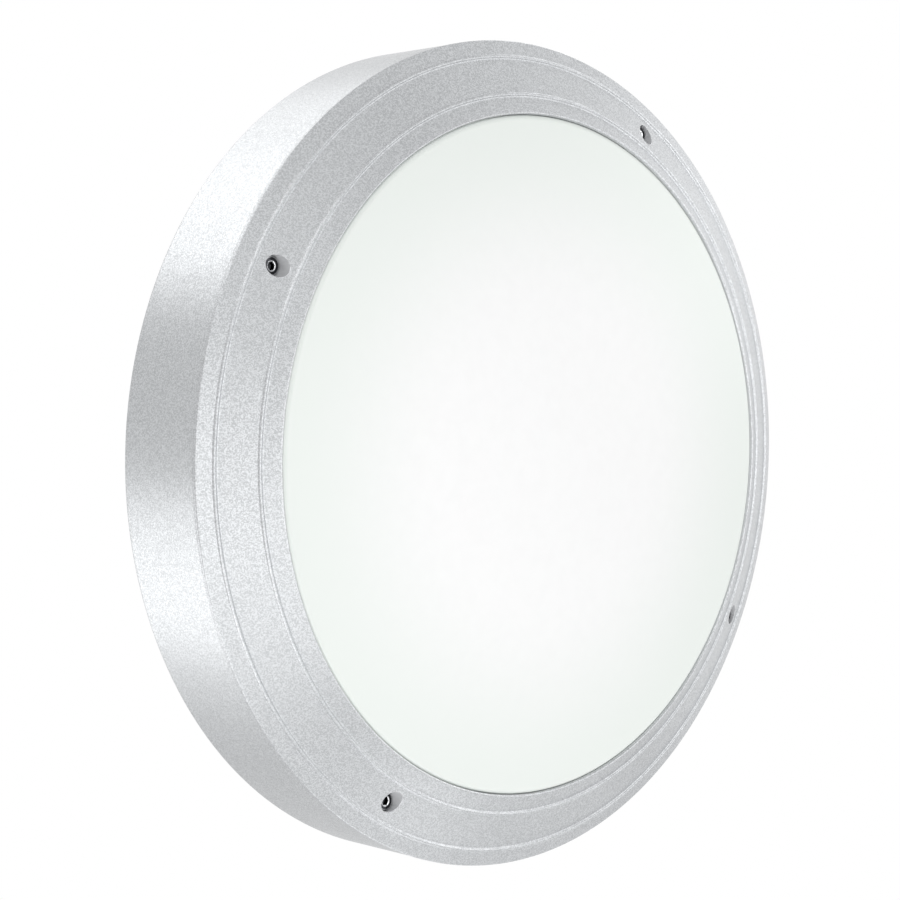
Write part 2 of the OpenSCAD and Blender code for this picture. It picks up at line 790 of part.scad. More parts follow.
// Sheet steel clip that presses the gasket and the glass to the seat
module glass_clip(i) {
    outer_r = clip_boss_r + clip_boss_d / 2;
    color("#b8bcc0") rotate(clip_angle + i * 360 / clips) difference() {
        union() {
            translate([clip_inner_r, -clip_w / 2, gasket_z - clip_t])
                cube([clip_boss_r - clip_inner_r, clip_w, clip_t]);
            translate([clip_boss_r, 0, 0]) intersection() {
                upright(clip_w, gasket_z - clip_t, gasket_z);
                translate([0, -clip_w / 2, gasket_z - clip_t]) cube([outer_r - clip_boss_r, clip_w, clip_t]);
            }
        }
        translate([clip_boss_r, 0, 0])
            upright(clip_screw_d + 2 * pass_clearance, gasket_z - clip_t - past, gasket_z + past);
    }
}

// Screws that hold the clips: their heads point to the wall
module clip_screws() {
    color("silver") around(clips, clip_boss_r, clip_angle) {
        upright(clip_screw_d, gasket_z - clip_t - past, gasket_z + clip_screw_reach);
        upright(clip_screw_d * pan_head_ratio, gasket_z - clip_t - clip_screw_head_h, gasket_z - clip_t);
    }
}

// White sheet tray that carries the lamp board and throws the light forwards
module gear_tray() {
    rim_in = tray_r - tray_rim_w;
    color("white") difference() {
        turned() polygon([
            [0, tray_z],
            [rim_in, tray_z],
            [tray_r, tray_z + tray_rim_h],
            [tray_r, tray_z + tray_rim_h + tray_t],
            [rim_in - tray_t / 3, board_z],
            [0, board_z]
        ]);
        around(tray_screws_n, post_circle_r, post_angle)
            upright(tray_screw_d + 2 * pass_clearance, tray_z - past, board_z + past);
        around(board_screws, board_screw_circle_r, board_screw_angle)
            upright(board_screw_d + 2 * thread_clearance, tray_z - past, board_z + past);
        upright(tray_hole_d, tray_z - past, board_z + past);
    }
}

// Bush that guards the lamp leads in the middle of the tray
module tray_bush() {
    neck_r = tray_hole_d / 2 - fit_clearance;
    flange_r = tray_hole_d / 2 + bush_wall;
    bore_r = tray_hole_d / 2 - bush_wall;
    low_z = tray_z - bush_flange_t;
    high_z = board_z + bush_flange_t;
    color("#ececea") turned() polygon([
        [bore_r, low_z], [flange_r, low_z], [flange_r, tray_z],
        [neck_r, tray_z], [neck_r, board_z], [flange_r, board_z],
        [flange_r, high_z], [bore_r, high_z]
    ]);
}

module tray_screws() {
    color("silver") around(tray_screws_n, post_circle_r, post_angle)
        pan_screw(tray_screw_d, board_z, tray_t + post_screw_reach);
}

// Ring-shaped metal-core board
module lamp_board() {
    color("#f4f4f1") difference() {
        upright(2 * board_r, board_z, board_z + board_t, $fn = large_fn);
        upright(2 * board_hole_r, board_z - past, board_z + board_t + past, $fn = large_fn);
        around(board_screws, board_screw_circle_r, board_screw_angle)
            upright(board_screw_d + 2 * pass_clearance, board_z - past, board_z + board_t + past);
    }
}

// Light-emitting packages soldered to the board in two circles
module lamps() {
    circles = [
        [inner_lamps, board_hole_r + inner_lamps_inset],
        [outer_lamps, board_r - outer_lamps_inset]
    ];
    color("#f0d98a") for (ring = circles) around(ring[0], ring[1], 180 / ring[0])
        translate([-lamp_w / 2, -lamp_l / 2, board_z + board_t]) cube([lamp_w, lamp_l, lamp_h]);
}

module board_screws() {
    color("silver") around(board_screws, board_screw_circle_r, board_screw_angle)
        pan_screw(board_screw_d, board_z + board_t, board_t + tray_t + board_screw_reach);
}

// Push-in connector on the board, with a hole for each lamp lead
module board_connector() {
    color("#f2f2f2") translate([connector_x, -connector_w / 2, board_z + board_t]) difference() {
        cube([connector_l, connector_w, connector_h]);
        for (y = [-1, 1])
            translate([-past, connector_w / 2 + y * connector_pitch / 2, connector_h / 2])
                rotate([0, 90, 0])
                    cylinder(d = lamp_lead_d + 2 * fit_clearance, h = connector_hole_h + past);
    }
}

// Case of the driver: a tray with a screw ear at each end
module driver_case() {
    color("#e6e6e3") difference() {
        union() {
            translate([-driver_l / 2, -driver_y - driver_w / 2, gear_z])
                cube([driver_l, driver_w, driver_h - driver_lid_h]);
            for (x = [-1, 1]) translate([x * (driver_l + driver_ear) / 2, -driver_y, 0]) {
                upright(driver_ear, gear_z, gear_z + driver_ear_t);
                translate([x > 0 ? -driver_ear / 2 - past : 0, -driver_ear / 2, gear_z])
                    cube([driver_ear / 2 + past, driver_ear, driver_ear_t]);
            }
        }
        translate([0, -driver_y, gear_z + driver_shell]) linear_extrude(driver_h)
            square([driver_l - 2 * driver_shell, driver_w - 2 * driver_shell], center = true);
        for (x = [-1, 1]) {
            translate([x * (driver_l + driver_ear) / 2, -driver_y, 0])
                upright(gear_screw_d + 2 * pass_clearance, gear_z - past, gear_z + driver_ear_t + past);
            for (y = [-1, 1]) translate([
                x > 0 ? driver_l / 2 - driver_shell - past : -driver_l / 2 - past,
                -driver_y + y * driver_lead_pitch, driver_lead_z])
                rotate([0, 90, 0])
                    cylinder(d = (x > 0 ? lamp_lead_d : mains_lead_d) + 2 * fit_clearance,
                        h = driver_shell + 2 * past);
        }
    }
}

// Lid of the driver, with its edge down over the case
module driver_lid() {
    lid_z = gear_z + driver_h - driver_lid_h;
    inset = driver_shell + fit_clearance;
    hollow = inset + driver_shell;
    color("#dcdcd8") difference() {
        union() {
            translate([-driver_l / 2, -driver_y - driver_w / 2, lid_z])
                cube([driver_l, driver_w, driver_lid_h]);
            translate([-driver_l / 2 + inset, -driver_y - driver_w / 2 + inset, lid_z - driver_lid_lap])
                cube([driver_l - 2 * inset, driver_w - 2 * inset, driver_lid_lap + past]);
        }
        translate([-driver_l / 2 + hollow, -driver_y - driver_w / 2 + hollow, lid_z - driver_lid_lap - past])
            cube([driver_l - 2 * hollow, driver_w - 2 * hollow,
                driver_lid_h - driver_shell + driver_lid_lap + past]);
    }
}

module driver_screws() {
    color("silver") for (x = [-1, 1]) translate([x * (driver_l + driver_ear) / 2, -driver_y, 0])
        pan_screw(gear_screw_d, gear_z + driver_ear_t, driver_ear_t + gear_screw_reach);
}

// Copies the children to both clamping screws of every terminal
module at_clamp_screws() {
    for (p = poles) for (y = [-1, 1])
        translate([p * pole_pitch, terminal_y + y * clamp_screw_y, 0]) children();
}

// Level bar along a terminal, centred on its middle
module terminal_bar(p, d, l) {
    translate([p * pole_pitch, terminal_y + l / 2, terminal_tube_z]) rotate([90, 0, 0])
        cylinder(d = d, h = l);
}

// Three-pole terminal block with a foot at each end
module terminal_block() {
    color("#f3f1ea") difference() {
        union() {
            translate([-terminal_fixing_x, terminal_y - terminal_bridge_w / 2, gear_z])
                cube([2 * terminal_fixing_x, terminal_bridge_w, terminal_base_t]);
            translate([-pole_pitch, terminal_y - terminal_w / 2, gear_z])
                cube([2 * pole_pitch, terminal_w, terminal_base_t]);
            for (x = [-1, 1]) translate([x * terminal_fixing_x, terminal_y, 0])
                upright(gear_foot_d, gear_z, gear_z + terminal_base_t);
            for (p = poles)
                translate([p * pole_pitch - pole_body_w / 2, terminal_y - terminal_w / 2, gear_z])
                    cube([pole_body_w, terminal_w, pole_body_h]);
            at_clamp_screws() upright(tower_d, gear_z + terminal_base_t, gear_z + terminal_h);
        }
        for (p = poles) terminal_bar(p, tube_d + 2 * fit_clearance, terminal_w + 2 * past);
        at_clamp_screws() upright(tower_bore_d, terminal_tube_z, gear_z + terminal_h + past);
        for (x = [-1, 1]) translate([x * terminal_fixing_x, terminal_y, 0])
            upright(gear_screw_d + 2 * pass_clearance, gear_z - past, gear_z + terminal_base_t + past);
    }
}

// Brass tubes in the terminal block
module terminal_tubes() {
    color("gold") difference() {
        for (p = poles) terminal_bar(p, tube_d, terminal_w - 2 * tube_inset);
        for (p = poles) terminal_bar(p, tube_bore_d, terminal_w + 2 * past);
        at_clamp_screws()
            upright(clamp_screw_d + 2 * fit_clearance, terminal_tube_z, gear_z + terminal_h);
    }
}

// Clamping screws of the terminals
module terminal_screws() {
    head_top_z = gear_z + terminal_h - clamp_head_sink;
    tip_z = terminal_tube_z + tube_bore_d / 2 - fit_clearance;
    color("silver") at_clamp_screws() difference() {
        union() {
            upright(clamp_screw_d, tip_z, head_top_z - clamp_head_h + past);
            upright(clamp_head_d, head_top_z - clamp_head_h, head_top_z);
        }
        translate([-clamp_head_d, -clamp_slot_w / 2, head_top_z - clamp_slot_h])
            cube([2 * clamp_head_d, clamp_slot_w, clamp_slot_h + past]);
    }
}

module terminal_fixing_screws() {
    color("silver") for (x = [-1, 1]) translate([x * terminal_fixing_x, terminal_y, 0])
        pan_screw(gear_screw_d, gear_z + terminal_base_t, terminal_base_t + gear_screw_reach);
}

// Arched bar that grips the sheath of the mains cable
module cord_clamp() {
    bar_z = floor_z + clamp_post_h;
    color("#e2e2df") translate([0, clamp_y, 0]) difference() {
        union() {
            translate([-clamp_span / 2, -clamp_w / 2, bar_z]) cube([clamp_span, clamp_w, clamp_t]);
            for (x = [-1, 1]) translate([x * clamp_span / 2, 0, 0])
                upright(clamp_w, bar_z, bar_z + clamp_t);
            translate([0, clamp_w / 2, bar_z]) rotate([90, 0, 0])
                cylinder(r = clamp_arch_r + clamp_t, h = clamp_w);
        }
        translate([0, clamp_w / 2 + past, bar_z]) rotate([90, 0, 0])
            cylinder(r = clamp_arch_r, h = clamp_w + 2 * past);
        translate([-clamp_span, -clamp_w, bar_z - 2 * clamp_arch_r])
            cube([2 * clamp_span, 2 * clamp_w, 2 * clamp_arch_r]);
        for (x = [-1, 1]) translate([x * clamp_span / 2, 0, 0])
            upright(gear_screw_d + 2 * pass_clearance, bar_z - past, bar_z + clamp_t + past);
    }
}

module cord_clamp_screws() {
    color("silver") for (x = [-1, 1]) translate([x * clamp_span / 2, clamp_y, 0])
        pan_screw(gear_screw_d, floor_z + clamp_post_h + clamp_t, clamp_t + clamp_post_h);
}

module earth_screw() {
    stack_t = earth_tag_t + earth_washer_t;
    color("gold") translate([earth_x, earth_y, 0])
        pan_screw(tray_screw_d, earth_seat_z + stack_t, stack_t + earth_screw_reach);
}

module earth_washer() {
    low_z = earth_seat_z + earth_tag_t;
    color("silver") translate([earth_x, earth_y, 0]) difference() {
        upright(earth_washer_d, low_z, low_z + earth_washer_t);
        upright(tray_screw_d + 2 * pass_clearance, low_z - past, low_z + earth_washer_t + past);
    }
}

// Ring tag crimped to the end of the earth lead
module earth_tag() {
    color("gold") translate([earth_x, earth_y, 0]) difference() {
        union() {
            upright(tag_ring_d, earth_seat_z, earth_seat_z + earth_tag_t);
            translate([0, -tag_neck_w / 2, earth_seat_z])
                cube([tag_barrel_x + past, tag_neck_w, earth_tag_t]);
            translate([tag_barrel_x, 0, tag_barrel_z]) rotate([0, 90, 0])
                cylinder(d = mains_lead_d + 2 * tag_barrel_wall, h = tag_barrel_l);
        }
        upright(tray_screw_d + 2 * pass_clearance, earth_seat_z - past, earth_seat_z + earth_tag_t + past);
        translate([tag_barrel_x + tag_barrel_l / 4, 0, tag_barrel_z]) rotate([0, 90, 0])
            cylinder(d = mains_lead_d + 2 * fit_clearance, h = tag_barrel_l);
    }
}

// Where a lead goes into a terminal tube, and where it goes into the driver
terminal_out_y = terminal_y + terminal_w / 2 - tube_inset;
driver_end_x = driver_l / 2 - driver_shell;

module mains_lead(pole, swing, side) {
    lead([
        [pole * pole_pitch, terminal_out_y - 4, terminal_tube_z],
        [pole * pole_pitch, terminal_out_y, terminal_tube_z],
        [pole * pole_pitch, terminal_out_y + 4, terminal_tube_z],
        [pole * pole_pitch - 5, terminal_out_y + 8 + swing, terminal_tube_z],
        [-30, terminal_out_y + 9 + swing, terminal_tube_z],
        [-56 - swing, 60, terminal_tube_z],
        [-70 - swing, 30, terminal_tube_z],
        [-73 - swing, 0, driver_lead_z],
        [-74 - swing, -30, driver_lead_z],
        [-72 - swing, -driver_y + side * driver_lead_pitch - side * 0.5, driver_lead_z + 5],
        [-driver_l / 2 - 8, -driver_y + side * driver_lead_pitch, driver_lead_z],
        [-driver_l / 2 - 3, -driver_y + side * driver_lead_pitch, driver_lead_z],
        [-driver_end_x + 1, -driver_y + side * driver_lead_pitch, driver_lead_z]
    ], mains_lead_d);
}

module live_lead() {
    color("#7a4a2b") mains_lead(-1, 0, 1);
}

module neutral_lead() {
    color("#2f62b0") mains_lead(0, 4, -1);
}

module earth_lead() {
    color("#7fae3a") lead([
        [pole_pitch, terminal_out_y - 4, terminal_tube_z],
        [pole_pitch, terminal_out_y, terminal_tube_z],
        [pole_pitch, terminal_out_y + 4, terminal_tube_z],
        [pole_pitch + 12, terminal_out_y + 10, terminal_tube_z],
        [pole_pitch + 32, terminal_y + 2, terminal_tube_z + 1],
        [earth_x + 24, earth_y + 18, tag_barrel_z],
        [earth_x + 24, earth_y + 3, tag_barrel_z],
        [earth_x + 18, earth_y, tag_barrel_z],
        [earth_x + 14, earth_y, tag_barrel_z],
        [earth_x + 10, earth_y, tag_barrel_z]
    ], mains_lead_d);
}

// The two lamp leads keep side by side: after the turn each is on the other side of the centre
module lamp_lead(side) {
    connector_z = board_z + board_t + connector_h / 2;
    lead([
        [driver_end_x - 1, -driver_y + side * driver_lead_pitch, driver_lead_z],
        [driver_l / 2 + 2, -driver_y + side * driver_lead_pitch, driver_lead_z],
        [driver_l / 2 + 6, -driver_y + side * driver_lead_pitch, driver_lead_z],
        [driver_l / 2 + 14 - side * 3, -40, driver_lead_z + 1],
        [50, -24 - side * 3, driver_lead_z],
        [24, -10 - side * 2, driver_lead_z],
        [5, -side * 2, tray_z - 6],
        [1, -side * 2, board_z],
        [7, -side * 2, connector_z + 4],
        [24, -side * 2, connector_z + 2],
        [connector_x - 12, -side * connector_pitch / 2, connector_z],
        [connector_x - 4, -side * connector_pitch / 2, connector_z],
        [connector_x + 3, -side * connector_pitch / 2, connector_z]
    ], lamp_lead_d);
}

module lamp_lead_positive() {
    color("#b23a32") lamp_lead(1);
}

module lamp_lead_negative() {
    color("#3a3a3c") lamp_lead(-1);
}

// Stands the light on its wall: it faces -Y, and the wall is the plane y = 0
module on_wall() {
    rotate([90, 0, 0]) children();
}

on_wall() housing();
on_wall() wall_seal();
on_wall() cable_grommet();
on_wall() fixing_washers();
on_wall() rim_gasket();
on_wall() front_ring();
on_wall() ring_screws();
on_wall() screw_seals();
on_wall() glass();
on_wall() glass_gasket();
for (i = [0:clips - 1]) on_wall() glass_clip(i);
on_wall() clip_screws();
on_wall() gear_tray();
on_wall() tray_bush();
on_wall() tray_screws();
on_wall() lamp_board();
on_wall() lamps();
on_wall() board_screws();
on_wall() board_connector();
on_wall() driver_case();
on_wall() driver_lid();
on_wall() driver_screws();
on_wall() terminal_block();
on_wall() terminal_tubes();
on_wall() terminal_screws();
on_wall() terminal_fixing_screws();
on_wall() cord_clamp();
on_wall() cord_clamp_screws();
on_wall() earth_screw();
on_wall() earth_washer();
on_wall() earth_tag();
on_wall() live_lead();
on_wall() neutral_lead();
on_wall() earth_lead();
on_wall() lamp_lead_positive();
on_wall() lamp_lead_negative();
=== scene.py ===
"""Round outdoor wall light: cast drum, stepped cast ring with sunk socket screws, domed opal glass.

Sizes are in millimetres. A local point (x, y, z) has y upwards and z away from the wall, and stands in
the shared frame at (x, -z, y) metres. Turned shapes turn about the local z axis.
"""

import logging
from dataclasses import dataclass, field
from enum import Enum

import bmesh
import bpy
import numpy as np
from mathutils import Matrix, Vector

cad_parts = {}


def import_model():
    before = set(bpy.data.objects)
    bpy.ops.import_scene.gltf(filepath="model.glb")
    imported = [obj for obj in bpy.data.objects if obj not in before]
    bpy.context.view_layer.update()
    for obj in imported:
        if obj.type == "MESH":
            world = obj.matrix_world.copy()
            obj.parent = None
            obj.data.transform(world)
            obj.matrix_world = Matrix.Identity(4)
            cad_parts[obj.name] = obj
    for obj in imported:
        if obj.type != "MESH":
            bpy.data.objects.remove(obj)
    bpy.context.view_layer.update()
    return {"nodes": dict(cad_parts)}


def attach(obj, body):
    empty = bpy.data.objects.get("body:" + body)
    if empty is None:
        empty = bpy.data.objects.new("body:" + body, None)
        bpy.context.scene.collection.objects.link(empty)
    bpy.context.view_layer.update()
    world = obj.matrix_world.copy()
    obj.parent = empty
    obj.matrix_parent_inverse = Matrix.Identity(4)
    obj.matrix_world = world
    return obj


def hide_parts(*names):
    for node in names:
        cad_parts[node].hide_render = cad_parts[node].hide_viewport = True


log = logging.getLogger("wall_light")
MM = 0.001
COLUMNS = 720
FILLET_STEPS = 4
SHARP_DEGREES = 35
DOUBLES_M = 2e-7
DEGENERATE_M = 1e-7
CLOSE = 0.01  # Vertices this near to a size, in millimetres, count as lying on it.
SAME_POINT = 1e-6  # Points of an outline this near to each other, in millimetres, are one.
STRAIGHT = 1e-4  # A corner within this of straight, in radians of its half angle, gets no fillet.
FLAT_SWEEP = 1e-9  # Below this sine of its sweep, a fillet has no arc.
WHITE = (1.0, 1.0, 1.0, 1.0)

Tree = bpy.types.NodeTree
Node = bpy.types.Node
Socket = bpy.types.NodeSocket
Material = bpy.types.Material
# Point numbers and places round a window, or its rows and columns.
Edge = tuple[np.ndarray, np.ndarray]


class Slot(Enum):
    """The finishes of the light, by their names in the part's record."""

    CAST_SILVER = "cast_silver"
    OPAL_GLASS = "opal_glass"
    STAINLESS = "stainless"
    ZINC_STEEL = "zinc_steel"
    BLACK_RUBBER = "black_rubber"
    GREY_SILICONE = "grey_silicone"
    WHITE_SHEET = "white_sheet"
    BOARD_MASK = "board_mask"
    LAMP_PHOSPHOR = "lamp_phosphor"
    WHITE_PLASTIC = "white_plastic"
    GREY_PLASTIC = "grey_plastic"
    TERMINAL_BRASS = "terminal_brass"
    BROWN_INSULATION = "brown_insulation"
    BLUE_INSULATION = "blue_insulation"
    GREEN_INSULATION = "green_insulation"
    RED_INSULATION = "red_insulation"
    BLACK_INSULATION = "black_insulation"


# Colours and nodes


def linear(hex_colour: str) -> tuple[float, float, float, float]:
    """Turn an sRGB hex colour into linear light.

    Args:
        hex_colour: Six hex digits after a hash sign.

    Returns:
        Red, green and blue in linear light, and an alpha of 1.
    """
    srgb = np.array([int(hex_colour[i : i + 2], 16) / 255 for i in (1, 3, 5)])
    values = np.where(srgb <= 0.04045, srgb / 12.92, ((srgb + 0.055) / 1.055) ** 2.4)
    return (*values.tolist(), 1.0)


def add_node(tree: Tree, kind: str, links: dict | None = None, **settings) -> Node:
    """Add one node with its settings, socket values and incoming links.

    Args:
        tree: Node tree that gets the node.
        kind: Blender's name of the node type.
        links: For each input name or number, an output socket to link or a value to set.
        settings: Properties of the node itself.

    Returns:
        The new node.
    """
    node = tree.nodes.new(kind)
    for name, value in settings.items():
        setattr(node, name, value)
    for key, value in (links or {}).items():
        if isinstance(value, Socket):
            tree.links.new(value, node.inputs[key])
        else:
            node.inputs[key].default_value = value
    return node


# Finishes


@dataclass(frozen=True)
class Finish:
    """A finish with a grain: cells or noise that vary its colour, its roughness and its height."""

    name: str
    colour: str
    dark_colour: str
    roughness: float
    metallic: float = 0.0
    grain_mm: float = 1.0
    bump_mm: float = 0.02
    roughness_spread: float = 0.08

    def shader(self) -> tuple[Material, Tree, Node, Socket]:
        """Start a node material with one principled shader.

        Returns:
            The material, its tree, its shader and the Object coordinates.
        """
        material = bpy.data.materials.new(self.name)
        material.use_nodes = True
        tree = material.node_tree
        tree.nodes.clear()
        bsdf = add_node(tree, "ShaderNodeBsdfPrincipled", {"Metallic": self.metallic})
        add_node(tree, "ShaderNodeOutputMaterial", {"Surface": bsdf.outputs[0]})
        place = add_node(tree, "ShaderNodeTexCoord").outputs["Object"]
        return material, tree, bsdf, place

    def grain(self, tree: Tree, place: Socket) -> Socket:
        """Give the pattern that the finish varies by, from 0 to 1: here soft noise.

        Args:
            tree: Tree of the material.
            place: Object coordinates.

        Returns:
            The output that carries the pattern.
        """
        inputs = {"Vector": place, "Scale": 1 / (self.grain_mm * MM), "Detail": 3.0, "Roughness": 0.6}
        return add_node(tree, "ShaderNodeTexNoise", inputs).outputs["Fac"]

    def dress(self, tree: Tree, bsdf: Node, grain: Socket) -> None:
        """Vary colour, roughness and height by the grain.

        Args:
            tree: Tree of the material.
            bsdf: Its shader.
            grain: Output that carries the pattern.
        """
        colour = add_node(tree, "ShaderNodeValToRGB", {"Fac": grain})
        stops = ((0.3, self.dark_colour), (0.7, self.colour))
        for element, (at, hex_colour) in zip(colour.color_ramp.elements, stops):
            element.position, element.color = at, linear(hex_colour)
        tree.links.new(colour.outputs[0], bsdf.inputs["Base Color"])
        most, least = self.roughness + self.roughness_spread, self.roughness - self.roughness_spread
        rough = add_node(tree, "ShaderNodeMapRange", {"Value": grain, "To Min": most, "To Max": least})
        tree.links.new(rough.outputs[0], bsdf.inputs["Roughness"])
        height = {"Height": grain, "Distance": self.bump_mm * MM, "Strength": 1.0}
        bump = add_node(tree, "ShaderNodeBump", height)
        tree.links.new(bump.outputs[0], bsdf.inputs["Normal"])

    def blend(self, tree: Tree, bsdf: Node, share: Socket, colour: str) -> None:
        """Blend the base colour towards a second one. Inputs 6 and 7 of the mix are its two colours.

        Args:
            tree: Tree of the material.
            bsdf: Its shader.
            share: Output that is 1 where only the second colour shows.
            colour: The second colour, in hex.
        """
        body = bsdf.inputs["Base Color"].links[0].from_socket
        mix = add_node(tree, "ShaderNodeMix", {0: share, 6: body, 7: linear(colour)}, data_type="RGBA")
        tree.links.new(mix.outputs[2], bsdf.inputs["Base Color"])

    def add_own(self, tree: Tree, bsdf: Node, place: Socket) -> None:
        """Add what only one kind of finish has: nothing here."""

    def material(self) -> Material:
        """Build the material.

        Returns:
            The finished material.
        """
        material, tree, bsdf, place = self.shader()
        self.dress(tree, bsdf, self.grain(tree, place))
        self.add_own(tree, bsdf, place)
        return material


@dataclass(frozen=True)
class MetallicPowderCoat(Finish):
    """Silver powder coat baked on a die casting.

    Aluminium flakes lie at slightly different tilts in a satin binder, so the eye sees a soft metal
    sheen broken into a fine, even grain. Real flakes are under 0.1 mm; they are drawn coarser, as wide as
    a clump of them that still shows. In the screw recesses and down the wall of the opening, where a mesh
    attribute is 1, the coat is painted paler, even and without the metal sheen. This is painted fill light
    that lifts the shade in these hollows.
    """

    flake_mm: float = 0.34
    flake_tilt: float = 0.05
    # Paler colour of the painted fill light in the screw recesses and on the opening's wall.
    painted_fill_colour: str = "#DCDDDF"

    def material(self) -> Material:
        """Build the material.

        Returns:
            The powder coat.
        """
        material, tree, bsdf, place = self.shader()
        voronoi = {"Vector": place, "Scale": 1 / (self.flake_mm * MM)}
        flakes = add_node(tree, "ShaderNodeTexVoronoi", voronoi).outputs["Color"]
        self.dress(tree, bsdf, add_node(tree, "ShaderNodeSeparateColor", {"Color": flakes}).outputs[0])
        upright = bsdf.inputs["Normal"].links[0].from_socket
        middle = {0: flakes, 1: (0.5, 0.5, 0.5)}
        centred = add_node(tree, "ShaderNodeVectorMath", middle, operation="SUBTRACT").outputs[0]
        scale = {0: centred, "Scale": self.flake_tilt}
        tilt = add_node(tree, "ShaderNodeVectorMath", scale, operation="SCALE").outputs[0]
        tilted = add_node(tree, "ShaderNodeVectorMath", {0: upright, 1: tilt}, operation="ADD").outputs[0]
        unit = add_node(tree, "ShaderNodeVectorMath", {0: tilted}, operation="NORMALIZE")
        tree.links.new(unit.outputs[0], bsdf.inputs["Normal"])
        # Painted fill light: paler and not metallic where the recesses and the opening's wall would lie in
        # shade.
        fill_light = add_node(tree, "ShaderNodeAttribute", attribute_name="painted_fill_light").outputs["Fac"]
        self.blend(tree, bsdf, fill_light, self.painted_fill_colour)
        ends = {"To Min": self.metallic, "To Max": 0.0}
        metal = add_node(tree, "ShaderNodeMapRange", {"Value": fill_light, **ends})
        tree.links.new(metal.outputs[0], bsdf.inputs["Metallic"])
        return material


@dataclass(frozen=True)
class OpalGlass(Finish):
    """Pressed opal glass with an etched satin face.

    White pigment all through it scatters the light, so it looks like matt porcelain with a soft sheen.
    Towards its rim one looks along the wall of the glass, and its faint green shows; the rim colour is also
    darker than the body, which is painted shade.
    """

    rim_colour: str = "#ECF1ED"
    rim_from_mm: float = 55.0
    rim_to_mm: float = 131.0

    def add_own(self, tree: Tree, bsdf: Node, place: Socket) -> None:
        """Blend in the rim's green, with its painted shade, by the distance from the glass's axis.

        Args:
            tree: Tree of the material.
            bsdf: Its shader.
            place: Object coordinates.
        """
        sideways = {0: place, 1: (1.0, 0.0, 1.0)}
        flat = add_node(tree, "ShaderNodeVectorMath", sideways, operation="MULTIPLY").outputs[0]
        radius = add_node(tree, "ShaderNodeVectorMath", {0: flat}, operation="LENGTH").outputs["Value"]
        span = {"Value": radius, "From Min": self.rim_from_mm * MM, "From Max": self.rim_to_mm * MM}
        across = add_node(tree, "ShaderNodeMapRange", span, interpolation_type="SMOOTHSTEP")
        self.blend(tree, bsdf, across.outputs[0], self.rim_colour)


@dataclass(frozen=True)
class TurnedMetal(Finish):
    """Metal turned on a lathe or drawn through a die: fine lines run round or along it."""

    line_mm: float = 0.25

    def grain(self, tree: Tree, place: Socket) -> Socket:
        """Give fine lines: noise stretched tenfold along the light's axis.

        Args:
            tree: Tree of the material.
            place: Object coordinates.

        Returns:
            The output that carries the pattern.
        """
        stretched = add_node(tree, "ShaderNodeMapping", {"Vector": place, "Scale": (1.0, 0.1, 1.0)})
        inputs = {"Vector": stretched.outputs[0], "Scale": 1 / (self.line_mm * MM), "Detail": 2.0}
        return add_node(tree, "ShaderNodeTexNoise", inputs).outputs["Fac"]


@dataclass(frozen=True)
class SteelWithPaintedReflections(TurnedMetal):
    """Stainless steel painted dark as a painted reflection of dark surroundings, with painted highlights.

    The mesh says where the painted highlights go: an attribute is 1 on the edges of a head and its socket, 0
    elsewhere.
    """

    # Colour of the painted highlights on the edges of a head and its socket.
    painted_glint_colour: str = "#E2E3E5"

    def add_own(self, tree: Tree, bsdf: Node, place: Socket) -> None:
        """Blend in painted highlights where the mesh attribute marks them.

        Args:
            tree: Tree of the material.
            bsdf: Its shader.
            place: Object coordinates; not used.
        """
        painted_glint = add_node(tree, "ShaderNodeAttribute", attribute_name="painted_glint").outputs["Fac"]
        self.blend(tree, bsdf, painted_glint, self.painted_glint_colour)


@dataclass(frozen=True)
class ExtrudedPvc(Finish):
    """Soft PVC drawn round a wire: a smooth skin with a faint waxy sheen and one flat colour."""

    roughness: float = 0.45
    grain_mm: float = 0.9
    bump_mm: float = 0.004
    roughness_spread: float = 0.05


